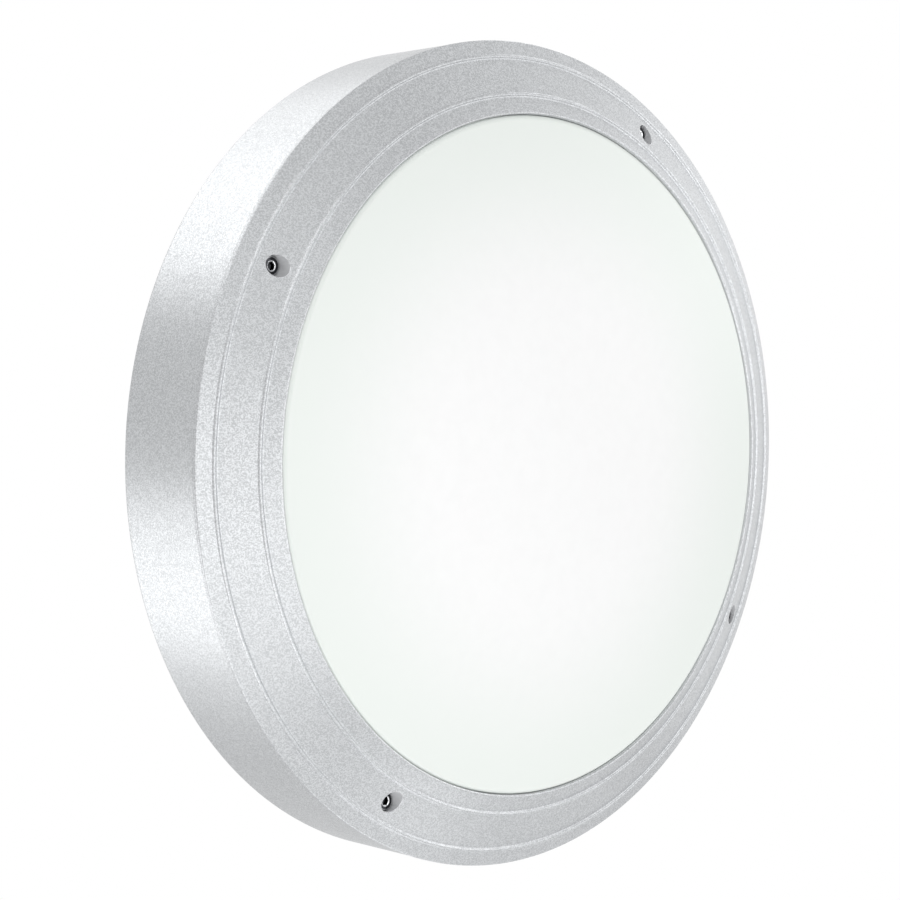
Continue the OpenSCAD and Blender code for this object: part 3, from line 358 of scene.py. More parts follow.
FINISHES: dict[Slot, Finish] = {
    Slot.CAST_SILVER: MetallicPowderCoat(
        "silver_powder_coat_on_die_cast_aluminium", "#C7C9CB", "#ACAEB0",
        roughness=0.34, metallic=0.75, bump_mm=0.0, roughness_spread=0.04,
    ),
    Slot.OPAL_GLASS: OpalGlass(
        "pressed_opal_glass_etched_satin", "#F9F9F9", "#F7F7F7",
        roughness=0.36, grain_mm=6.0, bump_mm=0.004, roughness_spread=0.03,
    ),
    # Dark base colour: a painted reflection of dark surroundings on stainless steel; the edge highlights are
    # painted too.
    Slot.STAINLESS: SteelWithPaintedReflections(
        "cold_headed_stainless_steel_painted_reflections", "#3E3F42", "#2E2F32",
        roughness=0.16, metallic=1.0, bump_mm=0.004, roughness_spread=0.04,
    ),
    # A thin bright skin of zinc: bluish grey, fairly shiny and a little cloudy.
    Slot.ZINC_STEEL: TurnedMetal(
        "bright_zinc_plated_steel", "#C3C8CE", "#A4AAB2",
        roughness=0.3, metallic=1.0, bump_mm=0.004, roughness_spread=0.07,
    ),
    # Carbon black all through it: nearly black and dull, with the faint pores of its mould.
    Slot.BLACK_RUBBER: Finish(
        "moulded_black_rubber", "#2E2E2F", "#232324", roughness=0.72, grain_mm=0.8, roughness_spread=0.06
    ),
    # Filled silicone: an even light grey with a soft skin.
    Slot.GREY_SILICONE: Finish(
        "moulded_grey_silicone", "#A5A6A3", "#979895",
        roughness=0.55, grain_mm=1.2, bump_mm=0.01, roughness_spread=0.06,
    ),
    # Baked paint that drew into a faint orange peel: warm white, half matt.
    Slot.WHITE_SHEET: Finish(
        "white_painted_steel_sheet", "#F0F0EE", "#E6E6E3", roughness=0.5, grain_mm=1.8, roughness_spread=0.06
    ),
    # Printed lacquer over flat metal: creamy white with a low sheen.
    Slot.BOARD_MASK: Finish(
        "white_solder_mask_on_aluminium_board", "#EEEFEA", "#E2E3DE",
        roughness=0.38, grain_mm=0.6, bump_mm=0.006, roughness_spread=0.06,
    ),
    # Powdered phosphor in clear silicone: deep yellow and slightly mottled.
    Slot.LAMP_PHOSPHOR: Finish(
        "phosphor_in_silicone", "#EBCB5E", "#DDB843", roughness=0.5, grain_mm=0.3, bump_mm=0.004
    ),
    # A milky plastic from a spark-eroded mould: ivory white, finely matt.
    Slot.WHITE_PLASTIC: Finish(
        "moulded_white_polyamide", "#EEEDE6", "#E2E1DA",
        roughness=0.48, grain_mm=0.7, bump_mm=0.01, roughness_spread=0.06,
    ),
    # The same kind of mould with a harder plastic: pale grey, a touch shinier.
    Slot.GREY_PLASTIC: Finish(
        "moulded_grey_polycarbonate", "#DADAD6", "#CDCDC9",
        roughness=0.45, grain_mm=0.6, bump_mm=0.015, roughness_spread=0.06,
    ),
    # Bare brass off the lathe: warm yellow with fine rings.
    Slot.TERMINAL_BRASS: TurnedMetal(
        "turned_brass", "#D9B46A", "#BE9750", roughness=0.28, metallic=1.0, bump_mm=0.004
    ),
    Slot.BROWN_INSULATION: ExtrudedPvc("extruded_brown_pvc", "#7B4A2C", "#6B3F25"),
    Slot.BLUE_INSULATION: ExtrudedPvc("extruded_blue_pvc", "#3265B4", "#2A58A1"),
    Slot.GREEN_INSULATION: ExtrudedPvc("extruded_green_pvc", "#7FAF3B", "#6F9E30"),
    Slot.RED_INSULATION: ExtrudedPvc("extruded_red_pvc", "#B43A33", "#A1312B"),
    Slot.BLACK_INSULATION: ExtrudedPvc("extruded_black_pvc", "#38383A", "#2D2D2F"),
}


class FinishRack:
    """Builds each finish once and hands it out."""

    def __init__(self) -> None:
        """Start with no material built."""
        self.built: dict[Slot, Material] = {}

    def get(self, slot: Slot) -> Material:
        """Give the material of a slot, built on first use.

        Args:
            slot: The finish wanted.

        Returns:
            Its material.
        """
        if slot not in self.built:
            self.built[slot] = FINISHES[slot].material()
        return self.built[slot]


# Outlines


def arc(cx: float, cy: float, r: float, start: float, end: float, steps: int) -> np.ndarray:
    """Points of an arc: the centre plus r times (cos t, sin t), t evenly spaced.

    Args:
        cx: First coordinate of the centre.
        cy: Second coordinate of the centre.
        r: Radius.
        start: Angle of the first point, in radians.
        end: Angle of the last point, in radians.
        steps: Number of steps between them.

    Returns:
        An array of points, one row each.
    """
    t = np.linspace(start, end, steps + 1)
    return np.stack([cx + r * np.cos(t), cy + r * np.sin(t)], 1)


def rounded(corners: np.ndarray, steps: int = FILLET_STEPS) -> np.ndarray:
    """Fillet every corner of a closed outline at once.

    With unit vectors a and b from a corner to its neighbours and w the half angle between them, the
    fillet's centre lies r / sin w along the bisector. Its points are turned from one tangent point to the
    other by sweeping between the two radius vectors. A corner of radius 0 stays one point.

    Args:
        corners: Rows of first coordinate, second coordinate and fillet radius.
        steps: Number of steps in a fillet.

    Returns:
        The outline's points, one row each, without doubles.
    """
    p, r = corners[:, :2], corners[:, 2:3]
    a = np.roll(p, 1, 0) - p
    b = np.roll(p, -1, 0) - p
    a = a / np.linalg.norm(a, axis=1, keepdims=True)
    b = b / np.linalg.norm(b, axis=1, keepdims=True)
    half = np.arccos(np.clip((a * b).sum(1, keepdims=True), -1, 1)) / 2
    straight = np.abs(half - np.pi / 2) < STRAIGHT
    r = np.where(straight, 0, r)
    bisector = np.where(straight, 0, a + b)
    length = np.linalg.norm(bisector, axis=1, keepdims=True)
    bisector = bisector / np.where(length > 0, length, 1)
    centre = p + bisector * r / np.sin(half)
    first = p + a * r / np.tan(half) - centre
    last = p + b * r / np.tan(half) - centre
    sweep = (np.pi - 2 * half)[:, :, None]
    t = np.linspace(0, 1, steps + 1)[None, :, None]
    low = np.where(np.sin(sweep) > FLAT_SWEEP, np.sin(sweep), 1)
    turned = (np.sin((1 - t) * sweep) * first[:, None] + np.sin(t * sweep) * last[:, None]) / low
    points = (centre[:, None] + np.where(r[:, :, None] > 0, turned, 0)).reshape(-1, 2)
    keep = np.linalg.norm(points - np.roll(points, 1, 0), axis=1) > SAME_POINT
    return points[keep]


def sharp_rows(points: np.ndarray) -> np.ndarray:
    """Add a fillet radius of 0 to each of several points."""
    return np.column_stack([points, np.zeros(len(points))])


def row_of(outline: np.ndarray, point: np.ndarray | list[float]) -> int:
    """Number of the outline's row that lies nearest to a point."""
    return int(np.argmin(np.linalg.norm(outline - point, axis=1)))


def around(first: float, count: int) -> np.ndarray:
    """Angles in degrees, spread evenly over a whole turn from the first one."""
    return first + np.arange(count) * 360 / count


def on_circle(radius: float, angles: np.ndarray) -> np.ndarray:
    """Rows of x and y at angles in radians: radius times (cos a, sin a)."""
    return radius * np.stack([np.cos(angles), np.sin(angles)], 1)


# Meshes


def from_axes(piece: bpy.types.Object, centres: np.ndarray) -> tuple[np.ndarray, np.ndarray]:
    """Distance of each vertex from the nearest of several axes square to the wall, and from the wall.

    Args:
        piece: Object whose mesh holds its place.
        centres: Rows of x and y, in millimetres.

    Returns:
        The two distances, in millimetres.
    """
    points = np.empty(3 * len(piece.data.vertices))
    piece.data.vertices.foreach_get("co", points)
    points = points.reshape(-1, 3) / MM
    return np.linalg.norm(points[:, None, [0, 2]] - centres, axis=2).min(1), -points[:, 1]


def grid_quads(ids: np.ndarray, closed: bool = False) -> np.ndarray:
    """Quads between neighbouring rows and columns of point numbers; the last column joins the first.

    Args:
        ids: Grid of point numbers.
        closed: Whether the last row joins the first too.

    Returns:
        Four point numbers for each row and column of quads.
    """
    rows = np.vstack([ids, ids[:1]]) if closed else ids
    grid = np.hstack([rows, rows[:, :1]])
    return np.stack([grid[:-1, :-1], grid[1:, :-1], grid[1:, 1:], grid[:-1, 1:]], -1)


def mark_points(piece: bpy.types.Object, name: str, marked: np.ndarray) -> None:
    """Give the mesh an attribute that is 1 at the marked vertices and 0 elsewhere."""
    mark = piece.data.attributes.new(name, "FLOAT", "POINT")
    mark.data.foreach_set("value", marked.astype(np.float32))


@dataclass
class Shell:
    """Points and faces under construction, in local millimetres."""

    points: list[np.ndarray] = field(default_factory=list)
    faces: list[np.ndarray] = field(default_factory=list)
    count: int = 0

    def add_points(self, points: np.ndarray) -> np.ndarray:
        """Add points and give their numbers.

        Args:
            points: An array whose last axis holds x, y and z.

        Returns:
            The points' numbers, in the shape of the array without its last axis.
        """
        shape = points.shape[:-1]
        size = int(np.prod(shape))
        self.points.append(points.reshape(-1, 3))
        numbers = np.arange(self.count, self.count + size).reshape(shape)
        self.count += size
        return numbers

    def add_cap(self, ring: np.ndarray, centre: np.ndarray) -> None:
        """Close a ring with a fan to a new point.

        Args:
            ring: Point numbers round the ring.
            centre: Place of the new point.
        """
        middle = self.add_points(centre[None, :])[0]
        fan = np.stack([ring, np.roll(ring, -1), np.full(len(ring), middle)], 1)
        self.faces.append(fan)

    def add_loops(self, loops: np.ndarray) -> np.ndarray:
        """Join a stack of loops, each a closed row of points.

        Args:
            loops: Points of the loops, one row of points for each loop.

        Returns:
            The points' numbers.
        """
        ids = self.add_points(loops)
        self.faces.append(grid_quads(ids).reshape(-1, 4))
        return ids

    def add_capped(self, loops: np.ndarray) -> None:
        """Join a stack of loops and close its two ends with fans.

        Args:
            loops: Points of the loops, one row of points for each loop.
        """
        ids = self.add_loops(loops)
        for end in (0, -1):
            self.add_cap(ids[end], loops[end].mean(0))

    def add_swept(self, section: np.ndarray, path: np.ndarray, across: np.ndarray) -> None:
        """Carry a closed section along a level path: path + section x times across + section y times z.

        Args:
            section: Rows of distance across the path and height.
            path: Rows of x, y and z.
            across: Rows of unit vectors across the path.
        """
        up = np.array([0.0, 0.0, 1.0])
        self.add_capped(path[:, None] + section[None, :, :1] * across[:, None] + section[None, :, 1:] * up)

    def make(self, name: str, nodes: list[str], slot: Slot, rack: FinishRack) -> bpy.types.Object:
        """Turn the shell into a finished piece of the scene that stands for its CAD nodes.

        Doubles are merged, faces are turned outwards and shading is smooth, with sharp edges past
        SHARP_DEGREES and normals weighted by face area.

        Args:
            name: Name of the piece.
            nodes: CAD nodes that the piece replaces.
            slot: Its finish.
            rack: Rack that the finish comes from.

        Returns:
            The new object.
        """
        local = np.vstack(self.points)
        world = np.stack([local[:, 0], -local[:, 2], local[:, 1]], 1) * MM
        mesh = bpy.data.meshes.new(name)
        mesh.from_pydata(world.tolist(), [], [face for block in self.faces for face in block.tolist()])
        clean = bmesh.new()
        clean.from_mesh(mesh)
        bmesh.ops.remove_doubles(clean, verts=clean.verts, dist=DOUBLES_M)
        bmesh.ops.dissolve_degenerate(clean, edges=clean.edges, dist=DEGENERATE_M)
        loose = [v for v in clean.verts if not v.link_faces]
        bmesh.ops.delete(clean, geom=loose, context="VERTS")
        bmesh.ops.recalc_face_normals(clean, faces=clean.faces)
        open_edges = sum(1 for edge in clean.edges if len(edge.link_faces) != 2)
        clean.to_mesh(mesh)
        clean.free()
        mesh.shade_smooth()
        mesh.set_sharp_from_angle(angle=np.radians(SHARP_DEGREES))
        mesh.materials.append(rack.get(slot))
        piece = bpy.data.objects.new(name, mesh)
        bpy.context.scene.collection.objects.link(piece)
        weighted = piece.modifiers.new("weighted_normals", "WEIGHTED_NORMAL")
        weighted.keep_sharp = True
        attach(piece, "root")
        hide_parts(*nodes)
        triangles = sum(len(p.vertices) - 2 for p in mesh.polygons)
        log.info("%s: %d triangles, %d open edges", name, triangles, open_edges)
        return piece


def turned_grid(outline: np.ndarray, columns: int) -> np.ndarray:
    """Turn an outline about the z axis: (r cos a, r sin a, z) for each point and each angle a.

    Args:
        outline: Rows of radius and height.
        columns: Number of angles in a whole turn.

    Returns:
        One row of points for each point of the outline.
    """
    angle = np.arange(columns) * 2 * np.pi / columns
    r, z = outline[:, :1], outline[:, 1:]
    return np.stack([r * np.cos(angle), r * np.sin(angle), z * np.ones(columns)], -1)


def window_loop(rows: np.ndarray, columns: np.ndarray) -> Edge:
    """Grid places round a rectangular window, once round it.

    Args:
        rows: The window's rows, from its first side to its last.
        columns: The window's columns.

    Returns:
        The row and the column of each place on the window's edge.
    """
    last_row, last_column = np.full(len(columns) - 1, rows[-1]), np.full(len(rows) - 1, columns[-1])
    first_row, first_column = np.full(len(columns) - 1, rows[0]), np.full(len(rows) - 1, columns[0])
    row = np.concatenate([first_row, rows[:-1], last_row, rows[:0:-1]])
    column = np.concatenate([columns[:-1], last_column, columns[:0:-1], first_column])
    return row, column


class PortedShell(Shell):
    """A turned shell with round ports let into its straight strips."""

    def add_ported(self, outline: np.ndarray, windows: list[Edge]) -> list[Edge]:
        """Turn a closed outline and leave out the quads of each window.

        Args:
            outline: Rows of radius and height.
            windows: Rows and columns of each window.

        Returns:
            For each window, the numbers and the places of the points round its edge.
        """
        grid = turned_grid(outline, COLUMNS)
        ids = self.add_points(grid)
        keep = np.ones(ids.shape, bool)
        edges = []
        for rows, columns in windows:
            low = np.sort(rows)[:-1]
            keep[np.ix_(low, columns[:-1] % COLUMNS)] = False
            row, column = window_loop(rows, columns)
            edges.append((ids[row, column % COLUMNS], grid[row, column % COLUMNS]))
        self.faces.append(grid_quads(ids, closed=True)[keep])
        return edges

    def add_port(self, edge: Edge, loops: list[np.ndarray], end: np.ndarray | None) -> np.ndarray:
        """Join a window's edge to a stack of loops, and the last loop to a second window's edge.

        Args:
            edge: Numbers and places of the points round the window.
            loops: The loops that follow, each with as many points as the edge.
            end: Numbers of the points that the last loop joins, if any.

        Returns:
            Numbers of the last loop's points.
        """
        ids = self.add_points(np.stack(loops))
        rows = [edge[0], *ids] if end is None else [edge[0], *ids, end]
        self.faces.append(grid_quads(np.stack(rows)).reshape(-1, 4))
        return ids[-1]


def columns_at(angles: np.ndarray, reach: int) -> tuple[np.ndarray, list[np.ndarray]]:
    """Columns of a window at each of several angles.

    Args:
        angles: Angles of the windows' middles, in degrees.
        reach: Number of columns on each side of a middle.

    Returns:
        The middle column of each window, and all its columns.
    """
    middles = np.rint(angles * COLUMNS / 360).astype(int)
    return middles, [middle + np.arange(-reach, reach + 1) for middle in middles]


def round_loop(
    angle: np.ndarray, centre: np.ndarray, radius: float | np.ndarray, height: float | np.ndarray
) -> np.ndarray:
    """Points at given angles round an upright axis.

    Args:
        angle: Angle of each point.
        centre: Place of the axis, x and y.
        radius: Distance of the points from it, one value or one each.
        height: Height of the points, one value or one each.

    Returns:
        One row of x, y and z for each angle.
    """
    x = centre[0] + radius * np.cos(angle)
    y = centre[1] + radius * np.sin(angle)
    return np.stack([x, y, np.broadcast_to(height, x.shape)], -1)


def zip_loops(
    shell: Shell, outer: np.ndarray, outer_angle: np.ndarray, inner: np.ndarray, inner_angle: np.ndarray
) -> None:
    """Join two loops of different length with triangles, in the order of their angles.

    Args:
        shell: Shell that gets the triangles.
        outer: Point numbers of one loop.
        outer_angle: Their angles about the shared centre.
        inner: Point numbers of the other loop.
        inner_angle: Their angles about the shared centre.
    """
    turn = 2 * np.pi
    outer_order, inner_order = np.argsort(outer_angle % turn), np.argsort(inner_angle % turn)
    outer, inner = outer[outer_order], inner[inner_order]
    steps = np.concatenate([outer_angle[outer_order] % turn, inner_angle[inner_order] % turn])
    is_outer = np.concatenate([np.ones(len(outer), bool), np.zeros(len(inner), bool)])
    order = np.argsort(steps, kind="stable")
    is_outer = is_outer[order]
    at_outer, at_inner = np.cumsum(is_outer) - 1, np.cumsum(~is_outer) - 1
    before_outer, before_inner = at_outer - is_outer, at_inner - ~is_outer
    third = np.where(is_outer, outer[at_outer], inner[at_inner])
    triangles = np.stack([outer[before_outer], inner[before_inner], third], 1)
    shell.faces.append(triangles)


# The light's own pieces


@dataclass(frozen=True)
class ScrewCircle:
    """Where the ring is screwed to the drum: ring, drum and screws all follow it."""

    radius: float = 145.6
    first_angle: float = 60.5
    count: int = 4
    joint_z: float = 37.0

    def angles(self) -> np.ndarray:
        """Angle of each screw, in degrees."""
        return around(self.first_angle, self.count)

    def places(self) -> np.ndarray:
        """Rows of x and y of the screws' axes."""
        return on_circle(self.radius, np.radians(self.angles()))


@dataclass
class FrontRing:
    """The cast front ring: stepped face with two crests, four screw recesses, glass seat and spigot."""

    face_r: float = 160.0
    drum_depth: float = 42.0
    ring_w: float = 29.0
    ring_rise: float = 14.5
    skin: float = 3.0
    edge_land: float = 1.0
    land_r: float = 0.2
    edge_r: float = 0.5
    lip_r: float = 0.7
    outer_crest_inset: float = 6.2
    inner_crest_inset: float = 8.0
    crest_r: float = 0.8
    crest_h: float = 0.35
    crest_drop: float = 0.55
    crest_fall: float = 62.0
    crest_foot_r: float = 0.3
    crest_steps: tuple[int, int, int] = (4, 12, 10)
    spigot_r: float = 155.17
    spigot_t: float = 2.2
    spigot_h: float = 3.0
    seat_r: float = 139.45
    seat_z: float = 50.0
    seat_wall_z: float = 44.85
    seat_wall_t: float = 2.4
    cast_r: float = 0.3
    root_r: float = 0.8
    screws: ScrewCircle = ScrewCircle()
    recess_r: float = 4.0
    recess_z: float = 40.6
    recess_edge_r: float = 0.16
    recess_floor_r: float = 0.25
    recess_wall_h: float = 1.0
    screw_hole_r: float = 2.25
    boss_feet: tuple[tuple[float, float], ...] = ((0.0, 0.4), (0.12, 0.12), (0.4, 0.0))
    port_room: float = 1.1
    port_shares: tuple[float, float] = (0.35, 0.7)
    brim_steps: int = 3
    port_columns: int = 5
    port_rows: int = 10
    under_room: float = 0.6
    clips: int = 6
    clip_angle: float = 15.0
    clip_boss_r: float = 145.15
    clip_post_r: float = 3.7
    clip_post_edge_r: float = 0.3
    clip_post_columns: int = 48
    clip_root_h: float = 1.2
    clip_hole_r: float = 1.55
    clip_hole_h: float = 2.8
    hole_edge_r: float = 0.15
    gasket_z: float = 43.6

    def slope(self) -> float:
        """Angle of the sloping face."""
        return float(np.arctan2(self.ring_rise, self.ring_w))

    def on_slope(self, points: np.ndarray) -> np.ndarray:
        """Place points given as distance up the slope and height over it.

        Args:
            points: Rows of distance up the slope from the ring's edge and height over the slope.

        Returns:
            Rows of radius and height over the wall.
        """
        cos, sin = np.cos(self.slope()), np.sin(self.slope())
        along, over = points[:, 0], points[:, 1]
        r = self.face_r - along * cos + over * sin
        return np.stack([r, self.drum_depth + along * sin + over * cos], 1)

    def under(self, r: float | np.ndarray) -> float | np.ndarray:
        """Height of the sloping wall's inner face at one radius or several."""
        return self.drum_depth + (self.face_r - r) * np.tan(self.slope()) - self.skin / np.cos(self.slope())

    def crest(self, inset: float) -> np.ndarray:
        """Outline of one crest: a foot, a bead and the cove behind it, all tangent.

        The bead's centre lies under the slope. The outer foot's centre lies its own radius over the slope
        and bead radius plus foot radius from the bead's centre. The cove starts where the bead has turned
        by the fall f and ends flat, so its radius is its drop over 1 - cos f.

        Args:
            inset: Distance of the crest from the ring's edge, across the ring.

        Returns:
            Rows of radius and height.
        """
        middle = inset / np.cos(self.slope())
        sunk = self.crest_r - self.crest_h
        foot = self.crest_foot_r
        outer_x = np.sqrt((self.crest_r + foot) ** 2 - (sunk + foot) ** 2)
        outer_a = np.arctan2(sunk + foot, -outer_x)
        fall = np.radians(self.crest_fall)
        edge_x, edge_h = middle + self.crest_r * np.sin(fall), self.crest_r * np.cos(fall) - sunk
        cove = (edge_h + self.crest_drop) / (1 - np.cos(fall))
        cove_x, flat = edge_x + cove * np.sin(fall), 1.5 * np.pi
        in_foot, in_bead, in_cove = self.crest_steps
        parts = [
            arc(middle - outer_x, foot, foot, -np.pi / 2, outer_a - np.pi, in_foot),
            arc(middle, -sunk, self.crest_r, outer_a, np.pi / 2 - fall, in_bead)[1:],
            arc(cove_x, cove - self.crest_drop, cove, flat - fall, flat, in_cove)[1:],
        ]
        return self.on_slope(np.vstack(parts))

    def outline(self) -> tuple[np.ndarray, np.ndarray, np.ndarray]:
        """Closed outline of the ring's section, from its outer edge over the face and back underneath.

        Returns:
            The outline, the port strip's points on the face, and the two ends of the strip underneath.
        """
        outer_crest = self.crest(self.outer_crest_inset)
        inner_crest = self.crest(self.ring_w - self.inner_crest_inset)
        first, last = outer_crest[-1], inner_crest[0]
        room, middle = self.recess_r + self.port_room, self.screws.radius
        radii = np.linspace(middle + room, middle - room, self.port_rows + 1)
        along = (first[0] - radii) / (first[0] - last[0])
        strip = first + along[:, None] * (last - first)
        lip_z = self.drum_depth + self.ring_rise
        opening_r = self.face_r - self.ring_w
        seat_out = self.seat_r + self.seat_wall_t
        spigot_in = self.spigot_r - self.spigot_t
        spigot_z = self.drum_depth - self.edge_land - self.spigot_h
        land_z = self.drum_depth - self.edge_land
        seat_end, spigot_end = self.seat_wall_z + self.under_room, spigot_z + self.under_room
        ends = np.array([[self.seat_r, seat_end], [spigot_in, spigot_end]])
        face = [
            [self.face_r, land_z, self.land_r],
            [self.face_r, self.drum_depth, self.edge_r],
            *sharp_rows(outer_crest).tolist(),
            *sharp_rows(strip).tolist(),
            *sharp_rows(inner_crest).tolist(),
            [opening_r, lip_z, self.lip_r],
        ]
        back = [
            [opening_r, self.seat_z, self.cast_r],
            [self.seat_r, self.seat_z, self.cast_r],
            [*ends[0], 0.0],
            [self.seat_r, self.seat_wall_z, self.cast_r],
            [seat_out, self.seat_wall_z, self.cast_r],
            [seat_out, self.under(seat_out), self.root_r],
            [spigot_in, self.under(spigot_in), self.root_r],
            [*ends[1], 0.0],
            [spigot_in, spigot_z, self.cast_r],
            [self.spigot_r, spigot_z, self.cast_r],
            [self.spigot_r, land_z, self.cast_r],
        ]
        return rounded(np.array(face + back)), strip, ends

    def port(
        self, shell: PortedShell, angle: float, face: Edge, under: Edge, window: Edge, strip: np.ndarray
    ) -> None:
        """Let one screw recess into the face, and stand its boss on the underside.

        Loops run from the window's edge to the recess's rounded edge on the face's own cone, down its
        wall, over its floor and through the screw hole. The boss's foot follows the window underneath.

        Args:
            shell: Shell that gets the faces.
            angle: Angle of the screw, in radians.
            face: Numbers and places round the window on the face.
            under: Numbers and places round the window underneath.
            window: Rows and columns round the window underneath.
            strip: Points of the face's strip, which give its cone.
        """
        centre = on_circle(self.screws.radius, np.array([angle]))[0]
        joint_z = self.screws.joint_z
        fall = (strip[-1, 1] - strip[0, 1]) / (strip[0, 0] - strip[-1, 0])

        def on_cone(points: np.ndarray, depth: float) -> np.ndarray:
            """Set the points' heights on the face's cone, less a depth."""
            r = np.hypot(points[:, 0], points[:, 1])
            return np.column_stack([points[:, :2], strip[0, 1] + (strip[0, 0] - r) * fall - depth])

        edge = face[1]
        turn = np.arctan2(edge[:, 1] - centre[1], edge[:, 0] - centre[0])
        brim = on_cone(round_loop(turn, centre, self.recess_r + self.recess_edge_r, 0.0), 0.0)
        loops = [on_cone((1 - t) * edge + t * brim, 0.0) for t in self.port_shares] + [brim]
        for step in np.linspace(0, np.pi / 2, self.brim_steps + 1)[1:]:
            radius = self.recess_r + self.recess_edge_r * (1 - np.sin(step))
            drop = self.recess_edge_r * (1 - np.cos(step))
            loops.append(on_cone(round_loop(turn, centre, radius, 0.0), drop))
        wall_z = self.recess_z + self.recess_wall_h
        corners = np.array([
            [self.recess_r + self.port_room, wall_z, 0.0],
            [self.recess_r, wall_z, 0.0],
            [self.recess_r, self.recess_z, self.recess_floor_r],
            [self.screw_hole_r, self.recess_z, self.hole_edge_r],
            [self.screw_hole_r, joint_z, self.hole_edge_r],
            [self.recess_r, joint_z, 0.0],
        ])
        loops += [round_loop(turn, centre, r, z) for r, z in rounded(corners)[1:-1]]
        bottom = shell.add_port(face, loops, None)
        row, column = window
        share = (row - row.min()) / (row.max() - row.min())
        spread = 2 * np.pi * column / COLUMNS - angle
        low = under[1][:, 2].min()
        foot = []
        for inset, lift in self.boss_feet:
            inner = self.seat_r + inset
            outer = self.spigot_r - self.spigot_t - inset
            r = inner + share * (outer - inner)
            squeeze = 1 - inset / (r * np.abs(spread).max())
            foot.append(round_loop(angle + spread * squeeze, np.zeros(2), r, min(joint_z + lift, low)))
        last = shell.add_port(under, foot, None)
        outer_turn = np.arctan2(foot[-1][:, 1] - centre[1], foot[-1][:, 0] - centre[0])
        zip_loops(shell, last, outer_turn, bottom, turn)

    def build(self, rack: FinishRack) -> None:
        """Build the ring and dress it.

        Args:
            rack: Rack that the powder coat comes from.
        """
        shell = PortedShell()
        outline, strip, ends = self.outline()
        start = row_of(outline, strip[0])
        first, last = (row_of(outline, end) for end in ends)
        face_rows, under_rows = np.arange(start, start + self.port_rows + 1), np.arange(first, last + 1)
        middles, columns = columns_at(self.screws.angles(), self.port_columns)
        windows = [(rows, reach) for rows in (face_rows, under_rows) for reach in columns]
        edges = shell.add_ported(outline, windows)
        turns = 2 * np.pi * middles / COLUMNS
        for k, turn in enumerate(turns):
            under_window = window_loop(under_rows, columns[k])
            self.port(shell, turn, edges[k], edges[k + self.screws.count], under_window, strip)
        for centre in on_circle(self.clip_boss_r, np.radians(around(self.clip_angle, self.clips))):
            self.clip_post(shell, centre)
        piece = shell.make("front_ring_casting", ["front_ring"], Slot.CAST_SILVER, rack)
        self.mark_painted_fill_light(piece, on_circle(self.screws.radius, turns))

    def mark_painted_fill_light(self, piece: bpy.types.Object, recesses: np.ndarray) -> None:
        """Mark where light is painted in: a paler, matt coat in the screw recesses and down the wall of the
        opening.

        Args:
            piece: The finished ring.
            recesses: Rows of x and y of the recesses' axes.
        """
        away, height = from_axes(piece, recesses)
        sunk = (away < self.recess_r + CLOSE) & (height > self.recess_z - CLOSE)
        radius = from_axes(piece, np.zeros((1, 2)))[0]
        lip_wall = (radius < self.face_r - self.ring_w + CLOSE) & (height > self.seat_z)
        mark_points(piece, "painted_fill_light", sunk | lip_wall)

    def clip_post(self, shell: Shell, centre: np.ndarray) -> None:
        """Stand one post for a clip screw under the face; its root follows the slope inside the wall.

        Args:
            shell: Shell that gets the post.
            centre: Place of its axis, x and y.
        """
        corners = np.array([
            [self.clip_post_r, self.seat_z, 0.0],
            [self.clip_post_r, self.gasket_z, self.clip_post_edge_r],
            [self.clip_hole_r, self.gasket_z, self.hole_edge_r],
            [self.clip_hole_r, self.gasket_z + self.clip_hole_h, 0.0],
        ])
        grid = turned_grid(rounded(corners), self.clip_post_columns) + np.array([*centre, 0.0])
        grid[0, :, 2] = self.under(np.hypot(grid[0, :, 0], grid[0, :, 1])) + self.clip_root_h
        shell.add_capped(grid)


@dataclass(frozen=True)
class Post:
    """One post on the drum's back wall, with a blind hole."""

    x: float
    y: float
    d: float
    top: float
    hole_d: float
    hole_z: float


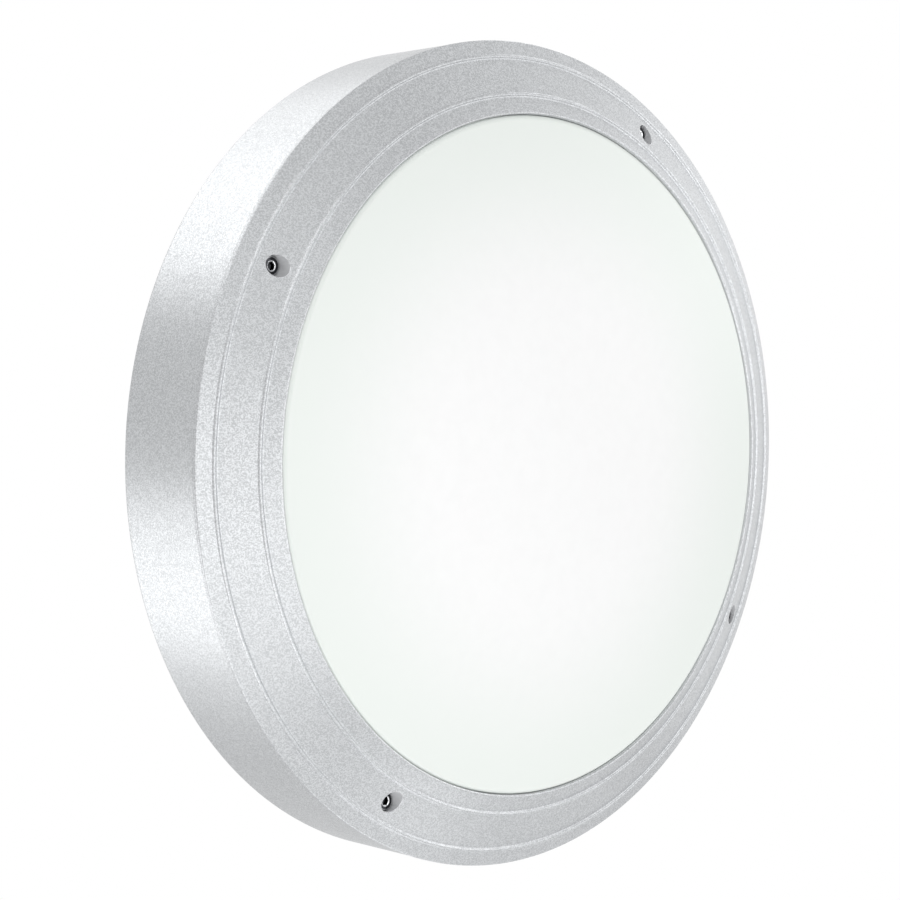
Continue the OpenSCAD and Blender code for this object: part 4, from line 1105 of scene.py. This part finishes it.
@dataclass
class DrumHousing:
    """The cast drum: side wall, back wall with ribs and fixing pads, seal grooves, bosses and posts."""

    back_r: float = 158.0
    rim_r: float = 159.8
    rim_z: float = 40.85
    wall: float = 4.2
    edge_r: float = 1.5
    recess: float = 3.6
    floor_z: float = 6.6
    rim_w: float = 13.0
    entry_r: float = 10.0
    seal_groove: tuple[float, float, float] = (149.0, 154.0, 2.4)
    rim_groove: tuple[float, float, float] = (156.7, 158.7, 2.4)
    floor_fillet: float = 2.0
    recess_fillet: float = 0.8
    rim_edge_r: float = 0.35
    cast_r: float = 0.3
    rib_t: float = 2.2
    rib_h: float = 2.4
    rib_edge_r: float = 0.5
    rib_root: float = 0.5
    arc_drop: float = 0.05  # The arcs lie this much lower than the bars they cross, so no tops are flush.
    arc_steps: int = 120
    ribs: int = 12
    rib_from: float = 15.0
    rim_overlap: float = 0.4
    pad_overlap: float = 0.3
    web_from: float = 4.5
    web_drop: float = 5.0
    web_overlap: float = 0.6
    fixing_circle_r: float = 100.0
    fixing_angle: float = 90.0
    fixings: int = 3
    fixing_hole_r: float = 3.0
    pad_r: float = 9.0
    pad_h: float = 2.0
    pad_fillet: float = 0.6
    port_room: float = 2.4
    port_columns: int = 12
    port_rows: int = 10
    screws: ScrewCircle = ScrewCircle()
    screw_boss_d: float = 12.0
    screw_hole_z: float = 17.4
    base_z: float = 4.1
    tapped_d: float = 4.1
    tray_circle_r: float = 112.0
    tray_angle: float = 15.0
    tray_posts: int = 4
    tray_post_d: float = 9.0
    tray_z: float = 30.0
    tray_hole_z: float = 20.0
    post_mouth_r: float = 0.2
    post_columns: int = 48
    gear_posts: tuple[Post, ...] = (
        Post(62.5, -58.0, 7.0, 8.6, 3.1, 4.6),
        Post(-62.5, -58.0, 7.0, 8.6, 3.1, 4.6),
        Post(19.0, 66.0, 8.0, 8.6, 3.1, 4.6),
        Post(-19.0, 66.0, 8.0, 8.6, 3.1, 4.6),
        Post(13.0, 33.0, 8.0, 11.6, 3.1, 4.6),
        Post(-13.0, 33.0, 8.0, 11.6, 3.1, 4.6),
        Post(44.0, 30.0, 10.0, 12.6, 4.1, 6.6),
    )

    def outline(self) -> tuple[np.ndarray, np.ndarray]:
        """Closed outline of the drum's section, from the cable hole out along the back and in again.

        Returns:
            The outline, and the radii of the strips that the fixing pads stand on.
        """
        room, middle = self.pad_r + self.port_room, self.fixing_circle_r
        radii = np.linspace(middle - room, middle + room, self.port_rows + 1)
        inner_back = self.back_r - self.rim_w
        inner_floor = self.back_r - self.wall + (self.rim_r - self.back_r) * self.floor_z / self.rim_z
        groove_in, groove_out, groove_h = self.seal_groove
        rim_in, rim_out, rim_h = self.rim_groove
        small = self.cast_r / 2
        corners = [
            [self.entry_r, self.recess, self.cast_r],
            *[[r, self.recess, 0.0] for r in radii],
            [inner_back, self.recess, self.recess_fillet],
            [inner_back, 0.0, self.cast_r],
            [groove_in, 0.0, self.cast_r],
            [groove_in, groove_h, small],
            [groove_out, groove_h, small],
            [groove_out, 0.0, self.cast_r],
            [self.back_r, 0.0, self.edge_r],
            [self.rim_r, self.rim_z, self.rim_edge_r],
            [rim_out, self.rim_z, small],
            [rim_out, self.rim_z - rim_h, small],
            [rim_in, self.rim_z - rim_h, small],
            [rim_in, self.rim_z, small],
            [self.rim_r - self.wall, self.rim_z, self.cast_r],
            [inner_floor, self.floor_z, self.floor_fillet],
            *[[r, self.floor_z, 0.0] for r in radii[::-1]],
            [self.entry_r, self.floor_z, self.cast_r],
        ]
        return rounded(np.array(corners)), radii

    def pad(self, shell: PortedShell, angle: float, back: Edge, floor: Edge) -> None:
        """Stand one fixing pad on both sides of the back wall, with its hole.

        Args:
            shell: Shell that gets the faces.
            angle: Angle of the pad, in radians.
            back: Numbers and places round the window behind the back wall.
            floor: Numbers and places round the window inside the drum.
        """
        centre = on_circle(self.fixing_circle_r, np.array([angle]))[0]
        turn = np.arctan2(back[1][:, 1] - centre[1], back[1][:, 0] - centre[0])
        top, outside = self.floor_z + self.pad_h, self.pad_r + self.port_room
        corners = np.array([
            [outside, self.recess, 0.0],
            [self.pad_r, self.recess, self.pad_fillet],
            [self.pad_r, 0.0, self.cast_r],
            [self.fixing_hole_r, 0.0, self.cast_r],
            [self.fixing_hole_r, top, self.cast_r],
            [self.pad_r, top, self.cast_r],
            [self.pad_r, self.floor_z, self.pad_fillet],
            [outside, self.floor_z, 0.0],
        ])
        loops = [round_loop(turn, centre, r, z) for r, z in rounded(corners)[1:-1]]
        first, last = (back[1] + loops[0]) / 2, (floor[1] + loops[-1]) / 2
        shell.add_port(back, [first, *loops, last], floor[0])

    def bar_section(self, root: float, crest: float) -> np.ndarray:
        """Section of a bar, from its root inside the wall to its rounded crest and back.

        Args:
            root: Height of the root.
            crest: Height of the crest.

        Returns:
            Rows of distance across the bar and height.
        """
        half, edge = self.rib_t / 2, self.rib_edge_r
        corners = [[-half, root, 0.0], [-half, crest, edge], [half, crest, edge], [half, root, 0.0]]
        return rounded(np.array(corners))

    def bars(self, shell: Shell) -> None:
        """Cast the ribs: radial bars and arcs behind the back wall, and a web at each screw boss.

        Args:
            shell: Shell that gets the ribs.
        """
        section = self.bar_section(self.recess + self.rib_root, self.recess - self.rib_h)
        pads = around(self.fixing_angle, self.fixings)
        rib_to = self.back_r - self.rim_w + self.rim_overlap
        gap = self.pad_r - self.pad_overlap
        for turn in around(0.0, self.ribs):
            crosses_pad = np.any(np.abs((pads - turn + 180) % 360 - 180) < 1)
            inner, outer = self.fixing_circle_r - gap, self.fixing_circle_r + gap
            spans = [(self.rib_from, inner), (outer, rib_to)] if crosses_pad else [(self.rib_from, rib_to)]
            for start, end in spans:
                self.radial(shell, section, np.radians(turn), start, end)
        edge, third = np.degrees(gap / self.fixing_circle_r), 360 / self.fixings
        for turn in pads:
            a = np.radians(np.linspace(turn + edge, turn + third - edge, self.arc_steps + 1))
            out = np.stack([np.cos(a), np.sin(a), 0 * a], 1)
            shell.add_swept(section + [0.0, self.arc_drop], self.fixing_circle_r * out, out)
        web = self.bar_section(self.base_z, self.screws.joint_z - self.web_drop)
        web_to = self.back_r - self.wall + self.web_overlap
        for turn in np.radians(self.screws.angles()):
            self.radial(shell, web, turn, self.screws.radius + self.web_from, web_to)

    def radial(self, shell: Shell, section: np.ndarray, turn: float, start: float, end: float) -> None:
        """Cast one straight bar along a radius.

        Args:
            shell: Shell that gets the bar.
            section: Rows of distance across the bar and height.
            turn: Angle of the bar, in radians.
            start: Radius of its inner end.
            end: Radius of its outer end.
        """
        out = np.array([np.cos(turn), np.sin(turn), 0.0])
        across = np.array([-np.sin(turn), np.cos(turn), 0.0])
        shell.add_swept(section, np.array([start, end])[:, None] * out, np.vstack([across, across]))

    def posts(self) -> list[Post]:
        """List the posts on the back wall.

        Returns:
            The screw bosses, the posts of the tray and those of the gear.
        """
        trays = on_circle(self.tray_circle_r, np.radians(around(self.tray_angle, self.tray_posts)))
        boss = (self.screw_boss_d, self.screws.joint_z, self.tapped_d, self.screw_hole_z)
        tray = (self.tray_post_d, self.tray_z, self.tapped_d, self.tray_hole_z)
        bosses = [Post(*at, *boss) for at in self.screws.places()]
        return [*bosses, *(Post(*at, *tray) for at in trays), *self.gear_posts]

    def stand(self, shell: Shell, post: Post) -> None:
        """Stand one post on the back wall.

        Args:
            shell: Shell that gets the post.
            post: Its place and sizes.
        """
        r, hole_r = post.d / 2, post.hole_d / 2
        corners = np.array([
            [r, self.base_z, 0.0],
            [r, post.top, self.cast_r],
            [hole_r, post.top, self.post_mouth_r],
            [hole_r, post.hole_z, 0.0],
        ])
        grid = turned_grid(rounded(corners), self.post_columns)
        shell.add_capped(grid + np.array([post.x, post.y, 0.0]))

    def build(self, rack: FinishRack) -> None:
        """Build the drum and dress it.

        Args:
            rack: Rack that the powder coat comes from.
        """
        shell = PortedShell()
        outline, radii = self.outline()
        steps = np.arange(self.port_rows + 1)
        back_rows = row_of(outline, [radii[0], self.recess]) + steps
        floor_rows = row_of(outline, [radii[0], self.floor_z]) - steps
        middles, columns = columns_at(around(self.fixing_angle, self.fixings), self.port_columns)
        windows = [(rows, reach) for rows in (back_rows, floor_rows) for reach in columns]
        edges = shell.add_ported(outline, windows)
        for k, turn in enumerate(2 * np.pi * middles / COLUMNS):
            self.pad(shell, turn, edges[k], edges[k + self.fixings])
        self.bars(shell)
        for post in self.posts():
            self.stand(shell, post)
        shell.make("drum_casting", ["housing"], Slot.CAST_SILVER, rack)


@dataclass
class OpalCover:
    """The pressed opal glass: flange, upright side, round shoulder and shallow crown."""

    glass_r: float = 130.85
    flange_r: float = 137.5
    flange_z: float = 44.8
    thickness: float = 4.0
    shoulder_r: float = 2.4
    crown_r: float = 1200.0
    top_z: float = 63.0
    pressed_r: float = 0.7
    crown_steps: int = 40
    inner_steps: int = 24
    shoulder_steps: int = 14
    columns: int = 480

    def skin(self, inset: float, shoulder: float, crown_steps: int) -> np.ndarray:
        """Outline of one skin from its pole to the foot of its shoulder.

        The shoulder's arc touches the crown's arc from inside: its centre lies crown radius less shoulder
        radius from the crown's centre.

        Args:
            inset: Distance inside the outer skin.
            shoulder: Radius of the shoulder.
            crown_steps: Number of steps across the crown.

        Returns:
            Rows of radius and height.
        """
        centre_z = self.top_z - self.crown_r
        crown = self.crown_r - inset
        x = self.glass_r - inset - shoulder
        z = centre_z + np.sqrt((crown - shoulder) ** 2 - x**2)
        meet = np.arctan2(z - centre_z, x)
        over = arc(0.0, centre_z, crown, np.pi / 2, meet, crown_steps)
        over[0, 0] = 0.0
        return np.vstack([over, arc(x, z, shoulder, meet, 0.0, self.shoulder_steps)[1:]])

    def build(self, rack: FinishRack) -> None:
        """Build the glass and dress it.

        Args:
            rack: Rack that the opal glass comes from.
        """
        outer = self.skin(0.0, self.shoulder_r, self.crown_steps)
        inner = self.skin(self.thickness, self.shoulder_r - self.thickness / 2, self.inner_steps)[::-1]
        top = self.flange_z + self.thickness
        rim = [
            [self.glass_r, top, self.pressed_r],
            [self.flange_r, top, self.pressed_r],
            [self.flange_r, self.flange_z, self.pressed_r],
            [self.glass_r - self.thickness, self.flange_z, self.pressed_r],
        ]
        corners = np.vstack([sharp_rows(outer), rim, sharp_rows(inner)])
        shell = Shell()
        shell.add_loops(turned_grid(rounded(corners), self.columns))
        shell.make("opal_glass_cover", ["glass"], Slot.OPAL_GLASS, rack)


@dataclass
class RingScrews:
    """Four socket-head screws with a fine grip round the head, a chamfer and a rolled thread."""

    circle: ScrewCircle = ScrewCircle()
    head_z: float = 41.4
    head_r: float = 3.5
    head_h: float = 4.0
    chamfer: float = 0.2
    land: float = 0.2
    bevel: float = 0.4
    foot_r: float = 0.25
    neck: float = 0.8
    socket_w: float = 3.0
    socket_h: float = 2.2
    socket_mouth: tuple[float, float] = (0.02, 0.14)
    socket_edge: float = 0.25
    socket_tip: float = 0.3
    socket_tip_h: float = 0.45
    # Width of the painted highlight round the socket, the room before it, and the reach of the one on the
    # head's edge.
    painted_glint_w: float = 0.36
    painted_glint_room: float = 0.3
    painted_glint_reach: float = 1.6
    grip_waves: int = 24
    grip_depth: float = 0.1
    grip_lead: float = 0.05
    grip_from: tuple[float, float] = (0.2, 0.35)
    grip_below: float = 0.25
    thread_r: float = 2.0
    thread_pitch: float = 0.7
    thread_depth: float = 0.35
    thread_rows: int = 4  # To each pitch.
    thread_overlap: float = 0.3
    point_h: float = 1.2
    point_depth: float = 0.5
    length: float = 22.0
    head_columns: int = 96
    thread_columns: int = 36
    turns: tuple[float, ...] = (8.0, 41.0, 23.0, 52.0)

    def head(self, shell: Shell, centre: np.ndarray, turn: float) -> None:
        """Turn one head and press its six-sided socket.

        The socket's radius at angle a is half its width over cos(a folded to within 30 degrees of a flat).

        Args:
            shell: Shell that gets the head.
            centre: Place of its axis, x and y.
            turn: Angle of the socket's first flat, in radians.
        """
        angle = np.arange(self.head_columns) * 2 * np.pi / self.head_columns
        top, foot = self.head_z + self.head_h, self.head_z
        sixth = np.pi / 3
        hexagon = self.socket_w / 2 / np.cos((angle + sixth / 2) % sixth - sixth / 2)
        grip = self.head_r - self.grip_depth / 2 * (1 - np.cos(self.grip_waves * angle))
        head_r, chamfer, lead_in = self.head_r, self.chamfer, self.socket_w / 2 + self.painted_glint_w
        socket_z = top - self.socket_h
        mouth_w, mouth_h = self.socket_mouth
        grip_start, grip_full = self.grip_from
        rows = [
            (self.thread_r * self.neck, foot),
            (head_r - self.foot_r, foot),
            (grip - self.grip_lead, foot + grip_start),
            (grip, foot + grip_full),
            (grip, top - chamfer - self.grip_below),
            (head_r - self.grip_lead, top - chamfer),
            (head_r - self.bevel * chamfer, top - self.bevel * chamfer),
            (head_r - chamfer, top),
            (head_r - chamfer - self.land, top),
            (lead_in + self.painted_glint_room, top),
            (lead_in, top),
            (hexagon + mouth_w, top - mouth_h),
            (hexagon, top - self.socket_edge),
            (hexagon, socket_z),
            (hexagon * self.socket_tip, socket_z - self.socket_tip_h),
        ]
        shell.add_capped(np.stack([round_loop(angle + turn, centre, r, z) for r, z in rows]))

    def shank(self, shell: Shell, centre: np.ndarray) -> None:
        """Roll one thread: the radius falls with the distance from the crest line z = pitch times a / turn.

        Args:
            shell: Shell that gets the shank.
            centre: Place of its axis, x and y.
        """
        tip = self.head_z - self.length
        step = self.thread_pitch / self.thread_rows
        z = np.arange(tip, self.head_z + self.thread_overlap, step)[:, None]
        angle = (np.arange(self.thread_columns) * 2 * np.pi / self.thread_columns)[None, :]
        phase = (z / self.thread_pitch - angle / (2 * np.pi)) % 1
        groove = 1 - np.abs(2 * phase - 1)
        ends = np.clip((z - tip) / self.point_h, 0, 1)
        r = self.thread_r - self.thread_depth * groove - self.point_depth * (1 - ends)
        shell.add_capped(round_loop(angle, centre, r, z))

    def build(self, rack: FinishRack) -> None:
        """Build the four screws and dress them.

        Args:
            rack: Rack that the steel comes from.
        """
        shell = Shell()
        centres = self.circle.places()
        for centre, turn in zip(centres, self.turns):
            self.head(shell, centre, np.radians(turn))
            self.shank(shell, centre)
        piece = shell.make("socket_head_screws", ["ring_screws"], Slot.STAINLESS, rack)
        # Painted highlights: the socket's rim and the head's outer edge, on its top.
        away, height = from_axes(piece, centres)
        deep = self.head_z + self.head_h - height
        rim = np.abs(away - self.socket_w / 2 - self.painted_glint_w / 2) < self.painted_glint_w / 2 + CLOSE
        edge = np.abs(away - self.head_r) < self.painted_glint_reach * self.chamfer
        mark_points(piece, "painted_glint", (rim | edge) & (deep < self.chamfer + CLOSE))


@dataclass
class LampGear:
    """Everything inside and behind the light that keeps its own solid and gets its real finish."""

    finishes: dict[Slot, tuple[str, ...]] = field(
        default_factory=lambda: {
            Slot.BLACK_RUBBER: ("wall_seal", "cable_grommet", "fixing_washers", "screw_seals"),
            Slot.GREY_SILICONE: ("rim_gasket", "glass_gasket"),
            Slot.ZINC_STEEL: (
                *(f"glass_clip_{i}" for i in range(1, 7)),
                "clip_screws",
                "tray_screws",
                "board_screws",
                "driver_screws",
                "terminal_screws",
                "terminal_fixing_screws",
                "cord_clamp_screws",
                "earth_washer",
            ),
            Slot.WHITE_SHEET: ("gear_tray",),
            Slot.WHITE_PLASTIC: (
                "tray_bush",
                "board_connector",
                "driver_lid",
                "terminal_block",
                "cord_clamp",
            ),
            Slot.GREY_PLASTIC: ("driver_case",),
            Slot.BOARD_MASK: ("lamp_board",),
            Slot.LAMP_PHOSPHOR: ("lamps",),
            Slot.TERMINAL_BRASS: ("terminal_tubes", "earth_screw", "earth_tag"),
            Slot.BROWN_INSULATION: ("live_lead",),
            Slot.BLUE_INSULATION: ("neutral_lead",),
            Slot.GREEN_INSULATION: ("earth_lead",),
            Slot.RED_INSULATION: ("lamp_lead_positive",),
            Slot.BLACK_INSULATION: ("lamp_lead_negative",),
        }
    )

    def dress(self, nodes: dict[str, bpy.types.Object], rack: FinishRack) -> None:
        """Give each solid its finish.

        Args:
            nodes: The part's solids by name.
            rack: Rack that the finishes come from.
        """
        for slot, names in self.finishes.items():
            for name in names:
                solid = nodes[name]
                solid.data.materials.clear()
                solid.data.materials.append(rack.get(slot))
            log.info("%s: %s", slot.value, ", ".join(names))


# The studio


@dataclass(frozen=True)
class SoftLamp:
    """A round soft lamp: where it stands as seen from the light, its width in metres and its level."""

    name: str
    towards: tuple[float, float, float]
    size: float
    level: float

    def build(self, target: Vector, distance: float) -> None:
        """Hang the lamp so that it faces the target; a mirror shows it level times as bright as white.

        Args:
            target: Point that the lamp faces.
            distance: Distance of the lamp from it.
        """
        data = bpy.data.lights.new(self.name, "AREA")
        data.shape = "DISK"
        data.size = self.size
        data.energy = self.level * np.pi**2 * self.size**2 / 4
        lamp = bpy.data.objects.new(self.name, data)
        bpy.context.scene.collection.objects.link(lamp)
        direction = Vector(self.towards).normalized()
        lamp.matrix_world = Matrix.Translation(target + direction * distance) @ (
            direction.to_track_quat("Z", "Y").to_matrix().to_4x4()
        )
        lamp.visible_camera = False


@dataclass
class Studio:
    """Camera, soft lamps, pale floor and plain white surroundings."""

    target: tuple[float, float, float] = (0.0, -0.042, 0.0)
    distance: float = 1.129
    azimuth: float = -46.222
    elevation: float = 2.718
    roll: float = -0.108
    focal_px: float = 2899.161
    offset_px: tuple[float, float] = (61.246, 4.24)
    picture_px: int = 900
    sensor_mm: float = 36.0
    floor_z: float = -1.6
    floor_size: float = 8.0
    floor_glow: float = 0.45
    white: float = 1.0
    ambient: float = 0.42
    paper: str = "#F4F4F4"
    clip_start: float = 0.05
    lamp_distance: float = 1.3
    lamps: tuple[SoftLamp, ...] = (
        SoftLamp("lamp_behind_above", (0.08, 0.69, 0.72), 0.8, 1.04),
        SoftLamp("lamp_behind_high_left", (-0.27, 0.69, 0.67), 0.6, 0.91),
        SoftLamp("lamp_behind_low_left", (-0.6, 0.69, -0.4), 0.8, 1.41),
        SoftLamp("lamp_behind_low", (-0.43, 0.69, -0.58), 0.8, 0.42),
        SoftLamp("lamp_front", (-0.12, -0.99, -0.05), 0.8, 1.32),
        SoftLamp("lamp_right", (0.985, 0.16, -0.05), 1.3, 0.12),
        SoftLamp("lamp_front_high_right", (0.72, -0.45, 0.52), 1.0, 0.13),
        SoftLamp("lamp_glint_right", (0.9, -0.39, 0.19), 0.45, 2.8),
        SoftLamp("lamp_below", (0.2, -0.2, -0.95), 0.8, 1.32),
        SoftLamp("lamp_high_left", (-0.5, -0.5, 0.66), 0.8, 1.91),
        SoftLamp("lamp_low_left", (-0.6, -0.5, -0.6), 0.8, 2.56),
        SoftLamp("lamp_right_high", (0.95, -0.1, 0.3), 0.7, 0.36),
        SoftLamp("lamp_low_front", (-0.35, -0.8, -0.45), 0.8, 0.72),
        SoftLamp("lamp_front_low", (0.2, -0.8, -0.57), 0.6, 0.55),
        SoftLamp("lamp_front_right", (0.5, -0.86, -0.05), 0.8, 1.35),
        SoftLamp("lamp_above_right", (0.72, 0.2, 0.66), 0.5, 1.84),
        SoftLamp("lamp_below_right", (0.72, 0.2, -0.66), 0.5, 0.8),
        SoftLamp("lamp_front_low_right", (0.72, -0.45, -0.62), 0.8, 0.17),
        SoftLamp("lamp_behind_left", (-0.42, 0.69, 0.59), 0.5, 1.24),
    )

    def camera(self) -> None:
        """Stand the camera where the photograph was taken from."""
        a, e, roll = np.radians([self.azimuth, self.elevation, self.roll])
        back = np.array([np.sin(a) * np.cos(e), -np.cos(a) * np.cos(e), np.sin(e)])
        right = np.array([np.cos(a), np.sin(a), 0.0])
        up = np.cross(back, right)
        across, over = right * np.cos(roll) + up * np.sin(roll), up * np.cos(roll) - right * np.sin(roll)
        data = bpy.data.cameras.new("camera")
        data.sensor_width = self.sensor_mm
        data.lens = self.focal_px / self.picture_px * self.sensor_mm
        data.shift_x = -self.offset_px[0] / self.picture_px
        data.shift_y = self.offset_px[1] / self.picture_px
        data.clip_start = self.clip_start
        camera = bpy.data.objects.new("camera", data)
        place = np.eye(4)
        place[:3, 0], place[:3, 1], place[:3, 2] = across, over, back
        place[:3, 3] = np.array(self.target) + self.distance * back
        camera.matrix_world = Matrix(place.tolist())
        bpy.context.scene.collection.objects.link(camera)
        bpy.context.scene.camera = camera

    def seen(self, tree: Tree) -> Socket:
        """Tell the rays that show white surroundings from the rest.

        Args:
            tree: Tree that gets the nodes.

        Returns:
            An output that is 1 for rays of the camera, of gloss and of transmission, and 0 for others.
        """
        rays = add_node(tree, "ShaderNodeLightPath").outputs
        seen = rays["Is Camera Ray"]
        for name in ("Is Glossy Ray", "Is Transmission Ray"):
            seen = add_node(tree, "ShaderNodeMath", {0: seen, 1: rays[name]}, operation="MAXIMUM").outputs[0]
        return seen

    def surroundings(self) -> None:
        """Make the world: white where it is seen, and a plain soft level for the rest."""
        world = bpy.data.worlds.new("white_surroundings")
        bpy.context.scene.world = world
        world.use_nodes = True
        tree = world.node_tree
        tree.nodes.clear()
        soft = add_node(tree, "ShaderNodeBackground", {"Color": WHITE, "Strength": self.ambient}).outputs[0]
        white = add_node(tree, "ShaderNodeBackground", {"Color": WHITE, "Strength": self.white}).outputs[0]
        mix = add_node(tree, "ShaderNodeMixShader", {0: self.seen(tree), 1: soft, 2: white})
        add_node(tree, "ShaderNodeOutputWorld", {"Surface": mix.outputs[0]})

    def floor(self) -> None:
        """Lay the pale floor: matt paper, white where the camera or gloss sees it, with soft shadows."""
        material = bpy.data.materials.new("matt_white_paper_floor")
        material.use_nodes = True
        tree = material.node_tree
        tree.nodes.clear()
        paper = add_node(tree, "ShaderNodeBsdfDiffuse", {"Color": linear(self.paper)}).outputs[0]
        glow = add_node(tree, "ShaderNodeEmission", {"Color": WHITE, "Strength": self.floor_glow}).outputs[0]
        both = add_node(tree, "ShaderNodeAddShader", {0: paper, 1: glow}).outputs[0]
        mix = add_node(tree, "ShaderNodeMixShader", {0: self.seen(tree), 1: paper, 2: both})
        add_node(tree, "ShaderNodeOutputMaterial", {"Surface": mix.outputs[0]})
        half = self.floor_size / 2
        mesh = bpy.data.meshes.new("floor")
        corners = [(x * half, y * half, self.floor_z) for x, y in ((-1, -1), (1, -1), (1, 1), (-1, 1))]
        mesh.from_pydata(corners, [], [(0, 1, 2, 3)])
        mesh.materials.append(material)
        floor = bpy.data.objects.new("floor", mesh)
        bpy.context.scene.collection.objects.link(floor)

    def build(self) -> None:
        """Set up the whole studio."""
        self.camera()
        for lamp in self.lamps:
            lamp.build(Vector(self.target), self.lamp_distance)
        self.surroundings()
        self.floor()
        bpy.context.scene.view_settings.view_transform = "Standard"


def main() -> None:
    """Load the part, stand it in the studio, and dress or replace each of its pieces."""
    logging.basicConfig(level=logging.INFO, format="%(message)s")
    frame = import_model()
    Studio().build()
    rack = FinishRack()
    FrontRing().build(rack)
    DrumHousing().build(rack)
    OpalCover().build(rack)
    RingScrews().build(rack)
    LampGear().dress(frame["nodes"], rack)
    bpy.context.view_layer.update()


if __name__ == "__main__":
    main()
